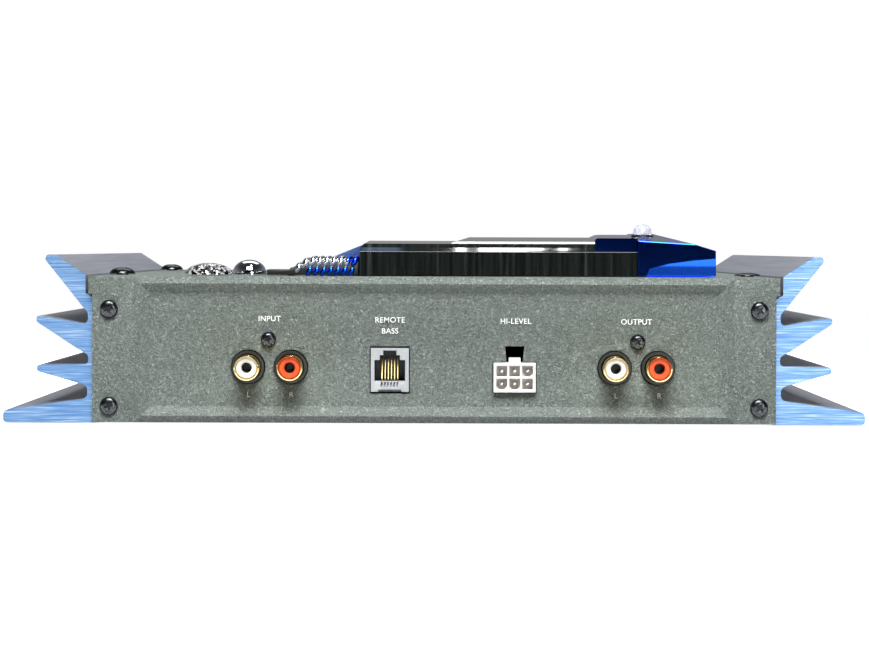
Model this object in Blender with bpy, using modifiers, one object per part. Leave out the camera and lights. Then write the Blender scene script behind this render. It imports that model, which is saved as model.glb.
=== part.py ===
"""Car amplifier: two finned side extrusions, painted covers and end panels, sockets, trim and insides.

Run with: blender --background --python part.py
Lengths in this file are millimetres, and every helper turns them into metres with MM.
X runs across the amplifier, Z is up, and the panel with the signal sockets faces -Y.
The origin is the middle of the footprint, on the surface that the amplifier lies on.
"""

from math import asin, atan2, ceil, cos, pi, radians, sin, tan

import bmesh
import bpy
from mathutils import Vector

MM = 0.001
GAP = 0.3
ARC_STEP = radians(30)

# Directions in which a turned piece's axis, or a flat outline's thickness, can point
UP = (0, 0, 0)
FRONT = (pi / 2, 0, 0)
REAR = (-pi / 2, 0, 0)
ACROSS = (pi / 2, 0, pi / 2)

# Casing
LENGTH = 300.0
END_Y = LENGTH / 2
TOP_Z = 48.0
SHEET = 2.0
COVER_HALF = 112.6
COVER_LIP_Z = 42.0
LEDGE_Z = TOP_Z - SHEET - GAP
PLATE_HALF = 110.0
PLATE_T = 1.5
WALL_X = 107.5
BOSS_X = 102.4
SCREW_X = 106.0
LOW_SCREW_Z = 5.7
HIGH_SCREW_Z = 37.3
CHANNEL_R = 1.8
CHANNEL_SLIT = 1.6
BASE_HOLE = (128.0, 120.0, 2.75)

# End panels
PANEL_BACK = END_Y + GAP
PANEL_T = 2.7
PANEL_FACE = PANEL_BACK + PANEL_T
PANEL_HALF = 111.5
EAR_HALF = 112.7
EAR_Z = 42.2
FRAME_HALF = 97.9
RIM_WIDTH = 2.3
RIM_RISE = 1.7
FIELD_SLOPE = 3.1
FIELD_DROP = 2.5
FIELD_FACE = PANEL_FACE + RIM_RISE - FIELD_DROP
REACH = PANEL_FACE + 9.5

# Signal sockets, seen from the front
JACK_Z = 18.5
JACKS = {
    "input_jack_left": -60.65, "input_jack_right": -46.7,
    "output_jack_left": 58.9, "output_jack_right": 73.0,
}
JACK_BOSS_R = 5.4
SHELL_R = 4.1
SHELL_BORE_R = 3.4
INSULATOR_R = 3.15
PIN_HOLE_R = 1.7
JACK_BODY_BACK = 136.0
JACK_SEAT = 140.3
JACK_GROUPS = {"input": (-53.7, -54.0, 27.5), "output": (65.95, 66.4, 27.0)}
SOCKET_X, SOCKET_Z = -14.4, 17.65
SOCKET_W, SOCKET_H = 12.4, 14.3
SOCKET_FACE = FIELD_FACE + 0.7
SOCKET_BACK = 137.0
CONTACT_PITCH = 1.02
HEADER_X, HEADER_Z = 26.3, 15.3
HEADER_W, HEADER_H = 13.8, 9.7
HEADER_FACE = FIELD_FACE + 2.0
HEADER_BACK = 142.0
LATCH_TOP = 25.5
CELL = 3.4
CELL_PITCH = 4.2

# Ornament on the top cover
TRIM_Z = TOP_Z + GAP
TRIM_FRONT, TRIM_BACK = -128.0, -28.0
TRIM_MID = (TRIM_FRONT + TRIM_BACK) / 2
TRIM_HALF = (TRIM_BACK - TRIM_FRONT) / 2
BAR_LEFT, BAR_RIGHT = -25.0, 67.6
RIDGE_LEFT, SHOULDER_LEFT = 5.5, 53.6
CAP_LEFT, CAP_RIGHT = 67.9, 93.8
LENS_R, LENS_Z = 3.4, 62.45
DOME_SCREW_X, DOME_SCREW_Y = 106.9, 100.0

# Power, speaker, fuse and control pieces on the rear panel
BLOCK_Z = (10.2, 30.0)
WIRE_SIDE = 9.2
WIRE_Z = 16.2
WIRE_DEPTH = 17.0
CLAMP_Y = 157.0
CLAMP_R = 2.9
POWER_X = (46.5, 61.0, 75.5)
SPEAKER_X = (-12.0, -26.5)
FUSE_X = 21.0
FUSE_Z = (16.5, 26.5)
FUSE_W, FUSE_T = 19.1, 5.1
BLADE_X = 6.0
HOLDER_FACE = PANEL_FACE + 0.6
KNOB_X = {"bass_knob": -47.0, "low_pass_knob": -62.0, "gain_knob": -77.0}
KNOB_Z = 27.5
KNOB_R = 4.5
SWITCH_X, SWITCH_Z = -62.0, 13.0
SWITCH_TRAVEL = 5.0

# Insides
BOARD_TOP = 9.9
BOARD_T = 1.6

parts = bpy.data.collections.new("car_amplifier")
cutters = bpy.data.collections.new("cutters")


# ---------------------------------------------------------------- helpers

def clear_scene():
    for old in list(bpy.data.objects):
        bpy.data.objects.remove(old, do_unlink=True)
    bpy.context.scene.collection.children.link(parts)
    bpy.context.scene.collection.children.link(cutters)


def material(name, red, green, blue, roughness, metallic=0.0):
    made = bpy.data.materials.new(name)
    made.use_nodes = True
    shader = made.node_tree.nodes["Principled BSDF"]
    shader.inputs["Base Color"].default_value = (red, green, blue, 1.0)
    shader.inputs["Roughness"].default_value = roughness
    shader.inputs["Metallic"].default_value = metallic
    return made


def add(name, data, location, rotation=UP, look=None):
    """Link an object: a part when it has a look, and a cutter when it has none."""
    thing = bpy.data.objects.new(name, data)
    thing.location = Vector(location) * MM
    thing.rotation_euler = rotation
    if look is None:
        cutters.objects.link(thing)
        thing.display_type = "WIRE"
        thing.hide_render = True
    else:
        parts.objects.link(thing)
        if not data.materials:
            data.materials.append(look)
    return thing


def from_bmesh(shape, name):
    mesh = bpy.data.meshes.new(name)
    shape.to_mesh(mesh)
    shape.free()
    return mesh


def block(name, low, high, look=None):
    """A box between two corners, with its origin in its middle."""
    size = Vector(high) - Vector(low)
    shape = bmesh.new()
    bmesh.ops.create_cube(shape, size=1.0)
    bmesh.ops.scale(shape, vec=size * MM, verts=shape.verts)
    return add(name, from_bmesh(shape, name), (Vector(low) + Vector(high)) / 2, UP, look)


def rounded(corners):
    """Turn corners (x, y, radius) into points, with an arc at each corner that has a radius."""
    points = []
    for index, (x, y, radius) in enumerate(corners):
        here = Vector((x, y))
        if radius == 0:
            points.append(here)
            continue
        before = (Vector(corners[index - 1][:2]) - here).normalized()
        after = (Vector(corners[(index + 1) % len(corners)][:2]) - here).normalized()
        half = before.angle(after) / 2
        centre = here + (before + after).normalized() * (radius / sin(half))
        start = here + before * (radius / tan(half)) - centre
        turn = pi - 2 * half
        if start.x * before.y - start.y * before.x > 0:
            turn = -turn
        steps = max(1, ceil(abs(turn) / ARC_STEP))
        first = atan2(start.y, start.x)
        for step in range(steps + 1):
            angle = first + turn * step / steps
            points.append(centre + Vector((cos(angle), sin(angle))) * radius)
    return points


def plain(points):
    return [(x, y, 0) for x, y in points]


def prism(name, corners, thickness, location, rotation=FRONT, look=None):
    """A flat outline given thickness on both sides of its own plane, made into a closed mesh."""
    curve = bpy.data.curves.new(name, "CURVE")
    curve.dimensions = "2D"
    curve.fill_mode = "BOTH"
    curve.extrude = thickness / 2 * MM
    points = rounded(corners)
    spline = curve.splines.new("POLY")
    spline.points.add(len(points) - 1)
    for point, place in zip(spline.points, points):
        point.co = (place.x * MM, place.y * MM, 0, 1)
    spline.use_cyclic_u = True
    holder = bpy.data.objects.new(name + "_outline", curve)
    parts.objects.link(holder)
    bpy.context.view_layer.update()
    mesh = bpy.data.meshes.new_from_object(holder.evaluated_get(bpy.context.evaluated_depsgraph_get()))
    bpy.data.objects.remove(holder)
    shape = bmesh.new()
    shape.from_mesh(mesh)
    bmesh.ops.remove_doubles(shape, verts=shape.verts, dist=1e-6)
    bmesh.ops.dissolve_limit(shape, angle_limit=radians(0.5), verts=shape.verts, edges=shape.edges)
    bmesh.ops.recalc_face_normals(shape, faces=shape.faces)
    shape.to_mesh(mesh)
    shape.free()
    return add(name, mesh, location, rotation, look)


def turned(name, profile, location, rotation=UP, look=None, steps=24, closed=False):
    """Points (radius, height) down the outer side, turned about the object's own Z axis."""
    mesh = bpy.data.meshes.new(name)
    count = len(profile)
    edges = [(step, step + 1) for step in range(count - 1)]
    if closed:
        edges.append((count - 1, 0))
    mesh.from_pydata([(radius * MM, 0, height * MM) for radius, height in profile], edges, [])
    thing = add(name, mesh, location, rotation, look)
    screw = thing.modifiers.new("turn", "SCREW")
    screw.steps = steps
    screw.render_steps = steps
    screw.use_merge_vertices = True
    screw.merge_threshold = 1e-5
    return thing


def boolean(target, tool, operation):
    step = target.modifiers.new(tool.name, "BOOLEAN")
    step.operation = operation
    step.solver = "EXACT"
    step.object = tool


def drill(target, location, radius, depth, rotation=FRONT, sides=24):
    """Cut a round hole, whose middle is at the location."""
    shape = bmesh.new()
    bmesh.ops.create_cone(
        shape, cap_ends=True, segments=sides, radius1=radius * MM, radius2=radius * MM, depth=depth * MM
    )
    boolean(target, add(target.name + "_drill", from_bmesh(shape, "drill"), location, rotation), "DIFFERENCE")


def mill(target, low, high):
    boolean(target, block(target.name + "_mill", low, high), "DIFFERENCE")


def punch(target, corners, thickness, location, rotation=FRONT):
    boolean(target, prism(target.name + "_punch", corners, thickness, location, rotation), "DIFFERENCE")


def fuse(target, tool):
    boolean(target, tool, "UNION")


def slice_off(target, point, normal):
    """Take away what lies beyond a plane, given in the object's own axes, and close the cut."""
    shape = bmesh.new()
    shape.from_mesh(target.data)
    everything = shape.verts[:] + shape.edges[:] + shape.faces[:]
    cut = bmesh.ops.bisect_plane(
        shape, geom=everything, dist=1e-7, plane_co=Vector(point) * MM, plane_no=normal, clear_outer=True
    )
    rim = [piece for piece in cut["geom_cut"] if isinstance(piece, bmesh.types.BMEdge)]
    bmesh.ops.edgenet_fill(shape, edges=rim)
    bmesh.ops.recalc_face_normals(shape, faces=shape.faces)
    shape.to_mesh(target.data)
    shape.free()


def finished_mesh(thing):
    """The object's mesh after its modifiers, so that copies can share it."""
    bpy.context.view_layer.update()
    mesh = bpy.data.meshes.new_from_object(thing.evaluated_get(bpy.context.evaluated_depsgraph_get()))
    bpy.data.objects.remove(thing)
    return mesh


def smooth_round_pieces():
    bpy.context.view_layer.update()
    for thing in parts.objects:
        thing.data.shade_smooth()
        thing.data.set_sharp_from_angle(angle=radians(35))


# ---------------------------------------------------------------- casing

def screw_channel(height):
    """The open round channel along a boss, from its upper lip round to its lower lip."""
    lip = asin(CHANNEL_SLIT / 2 / CHANNEL_R)
    steps = 10
    corners = [(BOSS_X, height + CHANNEL_SLIT / 2, 0)]
    for step in range(steps + 1):
        angle = pi - lip - (2 * pi - 2 * lip) * step / steps
        corners.append((SCREW_X + CHANNEL_R * cos(angle), height + CHANNEL_R * sin(angle), 0))
    corners.append((BOSS_X, height - CHANNEL_SLIT / 2, 0))
    return corners


def heatsink_corners():
    """The right-hand extrusion's section, counter-clockwise from the inner bottom corner."""
    foot = [(BOSS_X, 2.1, 0), (110.5, 2.1, 0), (110.5, 0, 0.4)]
    base_fin = [(141.0, 0, 1.1), (141.0, 4.1, 1.8), (113.4, 8.0, 1.9)]
    second_fin = [(113.4, 12.1, 1.9), (129.9, 16.8, 0.9), (129.9, 18.9, 0.9), (113.1, 19.2, 1.1)]
    third_fin = [(113.1, 22.0, 1.1), (130.0, 33.0, 0.9), (130.0, 35.1, 0.9), (113.2, 32.2, 1.5)]
    top_fin = [
        (113.2, 35.9, 1.5), (127.2, 53.3, 0.7), (126.6, 54.9, 0.7), (123.9, 54.9, 0.5), (113.9, 48.4, 0.5),
    ]
    cover_slot = [(113.9, 42.3, 0.3), (111.4, 41.0, 0), (110.3, 41.0, 0), (110.3, LEDGE_Z, 0)]
    high_boss = [(BOSS_X, LEDGE_Z, 0.5)] + screw_channel(HIGH_SCREW_Z)
    high_boss += [(BOSS_X, 33.7, 0.5), (WALL_X, 33.7, 0.8)]
    low_boss = [(WALL_X, 9.3, 0.8), (BOSS_X, 9.3, 0.5)] + screw_channel(LOW_SCREW_Z)
    return foot + base_fin + second_fin + third_fin + top_fin + cover_slot + high_boss + low_boss


def heatsinks(look):
    right = heatsink_corners()
    left = [(-x, y, radius) for x, y, radius in reversed(right)]
    hole_x, hole_y, hole_r = BASE_HOLE
    for name, corners, side in (("left_heatsink", left, -1), ("right_heatsink", right, 1)):
        sink = prism(name, corners, LENGTH, (0, 0, 0), FRONT, look)
        for end in (-1, 1):
            drill(sink, (side * hole_x, end * hole_y, 3), hole_r, 20, UP, 16)
            drill(sink, (side * DOME_SCREW_X, end * DOME_SCREW_Y, 46), 2.6, 9, UP, 16)


def covers(paint, steel):
    inner = COVER_HALF - SHEET
    under = TOP_Z - SHEET
    half = [(COVER_HALF, COVER_LIP_Z, 0), (COVER_HALF, TOP_Z, 1.0)]
    half_inner = [(inner, under, 0), (inner, COVER_LIP_Z, 0)]
    outline = half + [(-x, y, r) for x, y, r in reversed(half)]
    outline += [(-x, y, r) for x, y, r in reversed(half_inner)] + half_inner
    cover = prism("top_cover", outline, LENGTH, (0, 0, 0), FRONT, paint)
    for x in (-DOME_SCREW_X, DOME_SCREW_X):
        for y in (-DOME_SCREW_Y, DOME_SCREW_Y):
            drill(cover, (x, y, TOP_Z), 2.6, 10, UP, 16)
    block("bottom_plate", (-PLATE_HALF, -END_Y, GAP), (PLATE_HALF, END_Y, GAP + PLATE_T), steel)


def panel_blank(name, look, side):
    """A plate with ears at the top corners and a raised picture frame round a sunk field."""
    plate = block(name, (-PANEL_HALF, -PANEL_FACE, GAP), (PANEL_HALF, -PANEL_BACK, TOP_Z), look)
    middle_z = plate.location.z / MM
    shape = bmesh.new()
    shape.from_mesh(plate.data)
    ear = Vector((0, 0, EAR_Z - middle_z)) * MM
    frame = Vector((FRAME_HALF, 0, 0)) * MM
    for point, normal in ((ear, (0, 0, 1)), (frame, (1, 0, 0)), (-frame, (1, 0, 0))):
        everything = shape.verts[:] + shape.edges[:] + shape.faces[:]
        bmesh.ops.bisect_plane(shape, geom=everything, dist=1e-7, plane_co=point, plane_no=normal)
    for way in (-1, 1):
        ends = [f for f in shape.faces if f.normal.x * way > 0.9 and f.calc_center_median().z > ear.z]
        grown = bmesh.ops.extrude_face_region(shape, geom=ends)["geom"]
        tips = [piece for piece in grown if isinstance(piece, bmesh.types.BMVert)]
        bmesh.ops.translate(shape, verts=tips, vec=Vector((way * (EAR_HALF - PANEL_HALF), 0, 0)) * MM)
        bmesh.ops.delete(shape, geom=ends, context="FACES")
    field = [f for f in shape.faces if f.normal.y < -0.9 and abs(f.calc_center_median().x) < frame.x]
    for width, rise in ((RIM_WIDTH, RIM_RISE), (FIELD_SLOPE, -FIELD_DROP)):
        bmesh.ops.inset_region(
            shape, faces=field, thickness=width * MM, depth=rise * MM, use_even_offset=True
        )
    shape.to_mesh(plate.data)
    shape.free()
    if side > 0:
        plate.location.y = -plate.location.y
        plate.rotation_euler = (0, 0, pi)
    for x in (-SCREW_X, SCREW_X):
        for z in (LOW_SCREW_Z, HIGH_SCREW_Z):
            drill(plate, (x, side * PANEL_BACK, z), 1.9, 10, FRONT, 16)
    return plate


def front_panel(look):
    panel = panel_blank("front_panel", look, -1)
    for x in JACKS.values():
        drill(panel, (x, -PANEL_BACK, JACK_Z), JACK_BOSS_R + GAP, 12)
    for _, screw_x, screw_z in JACK_GROUPS.values():
        drill(panel, (screw_x, -PANEL_BACK, screw_z), 1.7, 12, FRONT, 16)
    half_w = SOCKET_W / 2 + 0.35
    mill(panel, (SOCKET_X - half_w, -160, SOCKET_Z - 7.7), (SOCKET_X + half_w, -145, SOCKET_Z + 7.7))
    left, right = HEADER_X - HEADER_W / 2 - GAP, HEADER_X + HEADER_W / 2 + GAP
    low, high = HEADER_Z - HEADER_H / 2 - GAP, HEADER_Z + HEADER_H / 2 + GAP
    latch = [(2.65, high), (3.15, LATCH_TOP), (-3.15, LATCH_TOP), (-2.65, high)]
    window = [(left, low), (right, low), (right, high)]
    window += [(HEADER_X + x, z) for x, z in latch] + [(left, high)]
    punch(panel, plain(window), 16, (0, -PANEL_BACK, 0))


def rear_panel(look):
    panel = panel_blank("rear_panel", look, 1)
    for name, places in (("power", POWER_X), ("speaker", SPEAKER_X)):
        left, right = block_sides(places)
        low, high = BLOCK_Z
        mill(panel, (left - GAP, 145, low - GAP), (right + GAP, 160, high + GAP))
    half = FUSE_W / 2 + 1.5 + GAP
    mill(panel, (FUSE_X - half, 145, holder_z()[0] - GAP), (FUSE_X + half, 160, holder_z()[1] + GAP))
    for x in KNOB_X.values():
        drill(panel, (x, PANEL_BACK, KNOB_Z), KNOB_R + 0.5, 12)
    reach = SWITCH_TRAVEL / 2 + 2 + GAP
    mill(panel, (SWITCH_X - reach, 145, SWITCH_Z - 2.3), (SWITCH_X + reach, 160, SWITCH_Z + 2.3))


# ---------------------------------------------------------------- fasteners

def cross_head_screw(name, head_r, head_h, shank_r, shank_l, look):
    """A pan-head screw with a cross recess. Its origin is under the head, and +Z points out of the head."""
    profile = [(0, head_h), (head_r * 0.6, head_h * 0.94), (head_r * 0.92, head_h * 0.6), (head_r, 0)]
    profile += [(shank_r, 0), (shank_r, -shank_l), (0, -shank_l)]
    screw = turned(name, profile, (0, 0, 0), UP, look, 16)
    arm, width, deep = head_r * 0.62, head_r * 0.13, head_h * 0.45
    mill(screw, (-arm, -width, deep), (arm, width, head_h + 1))
    mill(screw, (-width, -arm, deep), (width, arm, head_h + 1))
    return finished_mesh(screw)


def front_fasteners(look):
    corner = cross_head_screw("corner_screw", 2.95, 1.5, 1.5, 10, look)
    corners = {"top": HIGH_SCREW_Z, "bottom": LOW_SCREW_Z}
    for side, x in (("left", -SCREW_X), ("right", SCREW_X)):
        for level, z in corners.items():
            add(f"panel_screw_{level}_{side}", corner, (x, -PANEL_FACE - GAP, z), FRONT, look)
    jack = cross_head_screw("jack_screw", 2.55, 2.0, 1.3, 9, look)
    for group, (_, x, z) in JACK_GROUPS.items():
        add(f"{group}_jack_screw", jack, (x, -FIELD_FACE - GAP, z), FRONT, look)


def cover_fasteners(look):
    """Tall dome heads on the left, and low ones on the right."""
    head_r, shank_r, shank_l, socket_r, socket_deep = 4.5, 2.2, 5.4, 1.7, 1.5
    for side, x, head_h in (("left", -DOME_SCREW_X, 2.5), ("right", DOME_SCREW_X, 1.2)):
        arc = [(head_r * sin(angle), head_h * cos(angle)) for angle in (0, pi / 6, pi / 3, pi / 2)]
        profile = arc + [(shank_r, 0), (shank_r, -shank_l), (0, -shank_l)]
        screw = turned("dome_screw", profile, (0, 0, 0), UP, look, 20)
        drill(screw, (0, 0, head_h), socket_r, 2 * socket_deep, UP, 6)
        dome = finished_mesh(screw)
        for end, y in (("front", -DOME_SCREW_Y), ("rear", DOME_SCREW_Y)):
            add(f"cover_screw_{end}_{side}", dome, (x, y, TOP_Z + GAP), UP, look)


# ---------------------------------------------------------------- signal sockets

def jack_housings(look):
    for group, (middle, screw_x, screw_z) in JACK_GROUPS.items():
        low = (middle - 13.4, -PANEL_BACK + GAP, BOARD_TOP + GAP)
        high = (middle + 13.4, -JACK_BODY_BACK, screw_z + 3.8)
        housing = block(f"{group}_jack_housing", low, high, look)
        for name, x in JACKS.items():
            if name.startswith(group):
                boss = [(0, 6), (JACK_BOSS_R, 6), (JACK_BOSS_R, -6), (0, -6)]
                fuse(housing, turned(name + "_boss", boss, (x, -147.6, JACK_Z), FRONT))
                drill(housing, (x, -150, JACK_Z), SHELL_R + GAP, 20)
        drill(housing, (screw_x, -147, screw_z), 1.6, 13, FRONT, 16)


def jacks(gold, white, red):
    length = REACH - JACK_SEAT
    shell_profile = [
        (SHELL_BORE_R, length), (SHELL_R - 0.4, length), (SHELL_R, length - 0.5),
        (SHELL_R, 0), (SHELL_BORE_R, 0),
    ]
    plug = length - 0.9
    insulator_profile = [
        (0, plug - 9), (PIN_HOLE_R, plug - 9), (PIN_HOLE_R, plug),
        (INSULATOR_R, plug), (INSULATOR_R, 1), (0, 1),
    ]
    for name, x in JACKS.items():
        seat = (x, -JACK_SEAT, JACK_Z)
        turned(name + "_shell", shell_profile, seat, FRONT, gold, 24, True)
        colour = white if name.endswith("left") else red
        turned(name + "_insulator", insulator_profile, seat, FRONT, colour, 24)


def bass_socket(look, gold):
    half = SOCKET_W / 2
    low = (SOCKET_X - half, -SOCKET_FACE, SOCKET_Z - SOCKET_H / 2)
    high = (SOCKET_X + half, -SOCKET_BACK, SOCKET_Z + SOCKET_H / 2)
    shell = block("bass_socket_shell", low, high, look)
    side = [(5.0, 14.0), (5.0, 20.9), (3.3, 20.9), (3.3, 22.5), (2.15, 22.5), (2.15, 24.0)]
    cavity = plain(side + [(-x, y) for x, y in reversed(side)])
    depth = 13.0
    punch(shell, cavity, 2 * depth, (SOCKET_X, -SOCKET_FACE, 0))

    strip_low, strip_high = (SOCKET_X - 2.9, -141.3, 20.9), (SOCKET_X + 2.9, -140.4, 21.9)
    strip = block("bass_socket_contacts", strip_low, strip_high, gold)
    wire = [(-151.6, 14.4), (-150.9, 14.4), (-141.0, 21.1), (-141.0, 21.8), (-141.3, 21.8), (-151.6, 15.0)]
    for index in range(6):
        x = SOCKET_X + (index - 2.5) * CONTACT_PITCH
        fuse(strip, prism(f"contact_{index}", plain(wire), 0.4, (x, 0, 0), ACROSS))


def header_cells():
    """Each cell's middle, and whether its lower corners are chamfered."""
    chamfered = {(1, 1), (-1, -1), (0, -1)}
    for column in (-1, 0, 1):
        for row in (-1, 1):
            centre = (HEADER_X + column * CELL_PITCH, HEADER_Z + row * CELL_PITCH / 2)
            yield centre, (column, row) in chamfered


def hi_level_header(look, tin):
    low = (HEADER_X - HEADER_W / 2, -HEADER_FACE, HEADER_Z - HEADER_H / 2)
    high = (HEADER_X + HEADER_W / 2, -HEADER_BACK, HEADER_Z + HEADER_H / 2)
    shroud = block("hi_level_header", low, high, look)
    tab_low = (HEADER_X - 1.9, -HEADER_FACE + 0.8, HEADER_Z)
    tab_high = (HEADER_X + 1.9, -HEADER_BACK - 2, high[2] + 1.6)
    fuse(shroud, block("header_tab", tab_low, tab_high))
    half = CELL / 2
    for (x, z), chamfered in header_cells():
        nip = 1.0 if chamfered else 0.2
        right = [(half - nip, -half), (half, nip - half), (half, half)]
        cell = right + [(-dx, dz) for dx, dz in reversed(right)]
        punch(shroud, plain([(x + dx, z + dz) for dx, dz in cell]), 30, (0, -148, 0))
    back = -HEADER_BACK + GAP
    pins = block("hi_level_pins", (low[0] + 1, back, low[2] + 1), (high[0] - 1, back + 1.5, high[2] - 1), tin)
    for index, ((x, z), _) in enumerate(header_cells()):
        fuse(pins, block(f"pin_{index}", (x - 0.5, -HEADER_FACE + 3, z - 0.5), (x + 0.5, back + 1, z + 0.5)))


# ---------------------------------------------------------------- ornament

def roof_piece(name, left, right, side, look=None):
    """A length of trim: half an outline of (distance from the middle along Y, height), mirrored."""
    outline = side + [(-y, z) for y, z in reversed(side)]
    return prism(name, plain(outline), right - left, ((left + right) / 2, TRIM_MID, 0), ACROSS, look)


def trim_bar(look):
    """The long bar: chamfered front and back, a low wing at its left, a ridge, and a shoulder by the cap."""
    bar = roof_piece(
        "trim_bar", BAR_LEFT, BAR_RIGHT,
        [(TRIM_HALF, TRIM_Z), (TRIM_HALF, 56.2), (48.7, 57.6), (47.3, 58.9), (20, 59.9)], look,
    )
    slice_off(bar, (0, 57.6, (BAR_LEFT - BAR_RIGHT) / 2), (0, 1, -0.9))
    wing = [(-36.5, TRIM_Z), (-20, TRIM_Z), (-20, 58.6), (-24.2, 58.6), (-35.6, 54.0), (-36.5, 53.0)]
    fuse(bar, prism("trim_wing", plain(wing), 60, (0, TRIM_MID, 0)))
    ridge = roof_piece("trim_ridge", RIDGE_LEFT, SHOULDER_LEFT + 1, [(47.6, 56.0), (46.0, 59.7), (20, 61.2)])
    slice_off(ridge, (0, 59.2, (RIDGE_LEFT - SHOULDER_LEFT - 1) / 2), (0, 1, -0.32))
    fuse(bar, ridge)
    shoulder = roof_piece(
        "trim_shoulder", SHOULDER_LEFT, BAR_RIGHT, [(49.0, 55.5), (49.9, 56.3), (46.2, 60.9), (14, 62.2)],
    )
    slice_off(shoulder, (0, 60.4, (SHOULDER_LEFT - BAR_RIGHT) / 2), (0, 1, -0.7))
    fuse(bar, shoulder)


def trim_end_cap(look):
    """The taller end cap, whose roof falls to the front, to the back and to the right."""
    cap = roof_piece(
        "trim_end_cap", CAP_LEFT, CAP_RIGHT, [(TRIM_HALF, TRIM_Z), (TRIM_HALF, 62.6)], look,
    )
    half = (CAP_RIGHT - CAP_LEFT) / 2
    for side in (-1, 1):
        slice_off(cap, (side * TRIM_HALF, 60.1, -half), (side * 0.08, 1, 0.06))
    slice_off(cap, (0, 56.8, half), (0, 0.956, 0.292))


def top_details(look, chrome, crystal):
    pad = [(-56.0, TRIM_Z), (-25.4, TRIM_Z), (-25.4, 54.3), (-43.0, 54.3), (-48.6, 50.6), (-56.0, 50.6)]
    prism("bead_pad", plain(pad), 17, (0, -117.5, 0), FRONT, look)
    steps = 5
    for name, x, y, radius, height in (
        ("chrome_dome", -62.9, -108, 6.2, 5.0), ("mesh_dome", -76.0, -118, 8.2, 3.9),
    ):
        turns = [pi / 2 * step / steps for step in range(steps)]
        arc = [(radius * sin(turn), height * cos(turn)) for turn in turns]
        turned(name, arc + [(radius, 0.4), (radius, 0), (0, 0)], (x, y, TRIM_Z), UP, chrome, 24)
    ball = [(LENS_R * sin(radians(turn)), LENS_R * cos(radians(turn))) for turn in range(0, 100, 25)]
    ball += [(3.2, -1.0), (0, -1.0)]
    turned("indicator_lens", ball, (69.7, -119, LENS_Z), UP, crystal, 14)


# ---------------------------------------------------------------- rear pieces

def block_sides(places):
    return min(places) - 7.0, max(places) + 7.0


def terminal_blocks(look, steel):
    profile = [(0, 8.2), (CLAMP_R, 8.2), (CLAMP_R, 0.4), (CLAMP_R - 0.4, 0), (0, 0)]
    clamp = turned("clamp_screw", profile, (0, 0, 0), UP, steel, 16)
    drill(clamp, (0, 0, 8), CLAMP_R * 0.55, 5, UP, 6)
    clamp_mesh = finished_mesh(clamp)
    wire_top = WIRE_Z + WIRE_SIDE / 2
    for name, places in (("power", POWER_X), ("speaker", SPEAKER_X)):
        left, right = block_sides(places)
        body = block(f"{name}_terminal_block", (left, 137.0, BLOCK_Z[0]), (right, REACH, BLOCK_Z[1]), look)
        for index, x in enumerate(places):
            half = WIRE_SIDE / 2
            mill(body, (x - half, REACH - WIRE_DEPTH, WIRE_Z - half), (x + half, REACH + 5, WIRE_Z + half))
            drill(body, (x, CLAMP_Y, wire_top + 8), CLAMP_R + 0.25, 18, UP)
            add(f"{name}_clamp_screw_{index + 1}", clamp_mesh, (x, CLAMP_Y, wire_top + GAP), UP, steel)


def holder_z():
    return FUSE_Z[0] - FUSE_T / 2 - 2.0, FUSE_Z[1] + FUSE_T / 2 + 2.0


def fuses(look, plastic):
    half = FUSE_W / 2 + 1.5
    low, high = holder_z()
    holder = block("fuse_holder", (FUSE_X - half, 137.0, low), (FUSE_X + half, HOLDER_FACE, high), look)
    for index, z in enumerate(FUSE_Z):
        body_low = (FUSE_X - FUSE_W / 2, HOLDER_FACE + GAP, z - FUSE_T / 2)
        body_high = (FUSE_X + FUSE_W / 2, REACH - 0.5, z + FUSE_T / 2)
        fuse_piece = block(f"blade_fuse_{index + 1}", body_low, body_high, plastic)
        for side in (-1, 1):
            x = FUSE_X + side * BLADE_X
            blade_low = (x - 2.6, HOLDER_FACE - 10.0, z - 0.4)
            fuse(fuse_piece, block("blade", blade_low, (x + 2.6, HOLDER_FACE + 2, z + 0.4)))
            mill(holder, (x - 3.0, HOLDER_FACE - 11.0, z - 0.8), (x + 3.0, HOLDER_FACE + 1, z + 0.8))


def controls(look, black):
    profile = [(0, 8.2), (KNOB_R - 0.4, 8.2), (KNOB_R, 7.8), (KNOB_R, 0), (0, 0)]
    knob = turned("knob", profile, (0, 0, 0), UP, look, 24)
    mill(knob, (-0.6, 0.6, 7.4), (0.6, KNOB_R + 1, 9))
    knob_mesh = finished_mesh(knob)
    for name, x in KNOB_X.items():
        add(name, knob_mesh, (x, PANEL_BACK - 0.5, KNOB_Z), REAR, look)
    low_x, high_x = min(KNOB_X.values()) - 7, max(KNOB_X.values()) + 7
    block("control_pots", (low_x, 139.0, BOARD_TOP + GAP), (high_x, PANEL_BACK - 2.6, KNOB_Z + 7), black)
    x, z = SWITCH_X - SWITCH_TRAVEL / 2, SWITCH_Z
    plate_low, plate_high = (x - 4, PANEL_BACK - 2, z - 3), (x + 4, PANEL_BACK - GAP, z + 3)
    slider = block("crossover_switch", plate_low, plate_high, look)
    fuse(slider, block("switch_nub", (x - 2, PANEL_BACK - 1, z - 2), (x + 2, PANEL_FACE + 1.5, z + 2)))


# ---------------------------------------------------------------- insides

def boards(look):
    bottom = BOARD_TOP - BOARD_T
    block("control_board", (-78, -149, bottom), (86, -118, BOARD_TOP), look)
    block("main_board", (-98, -117, bottom), (98, 148, BOARD_TOP), look)


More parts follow.
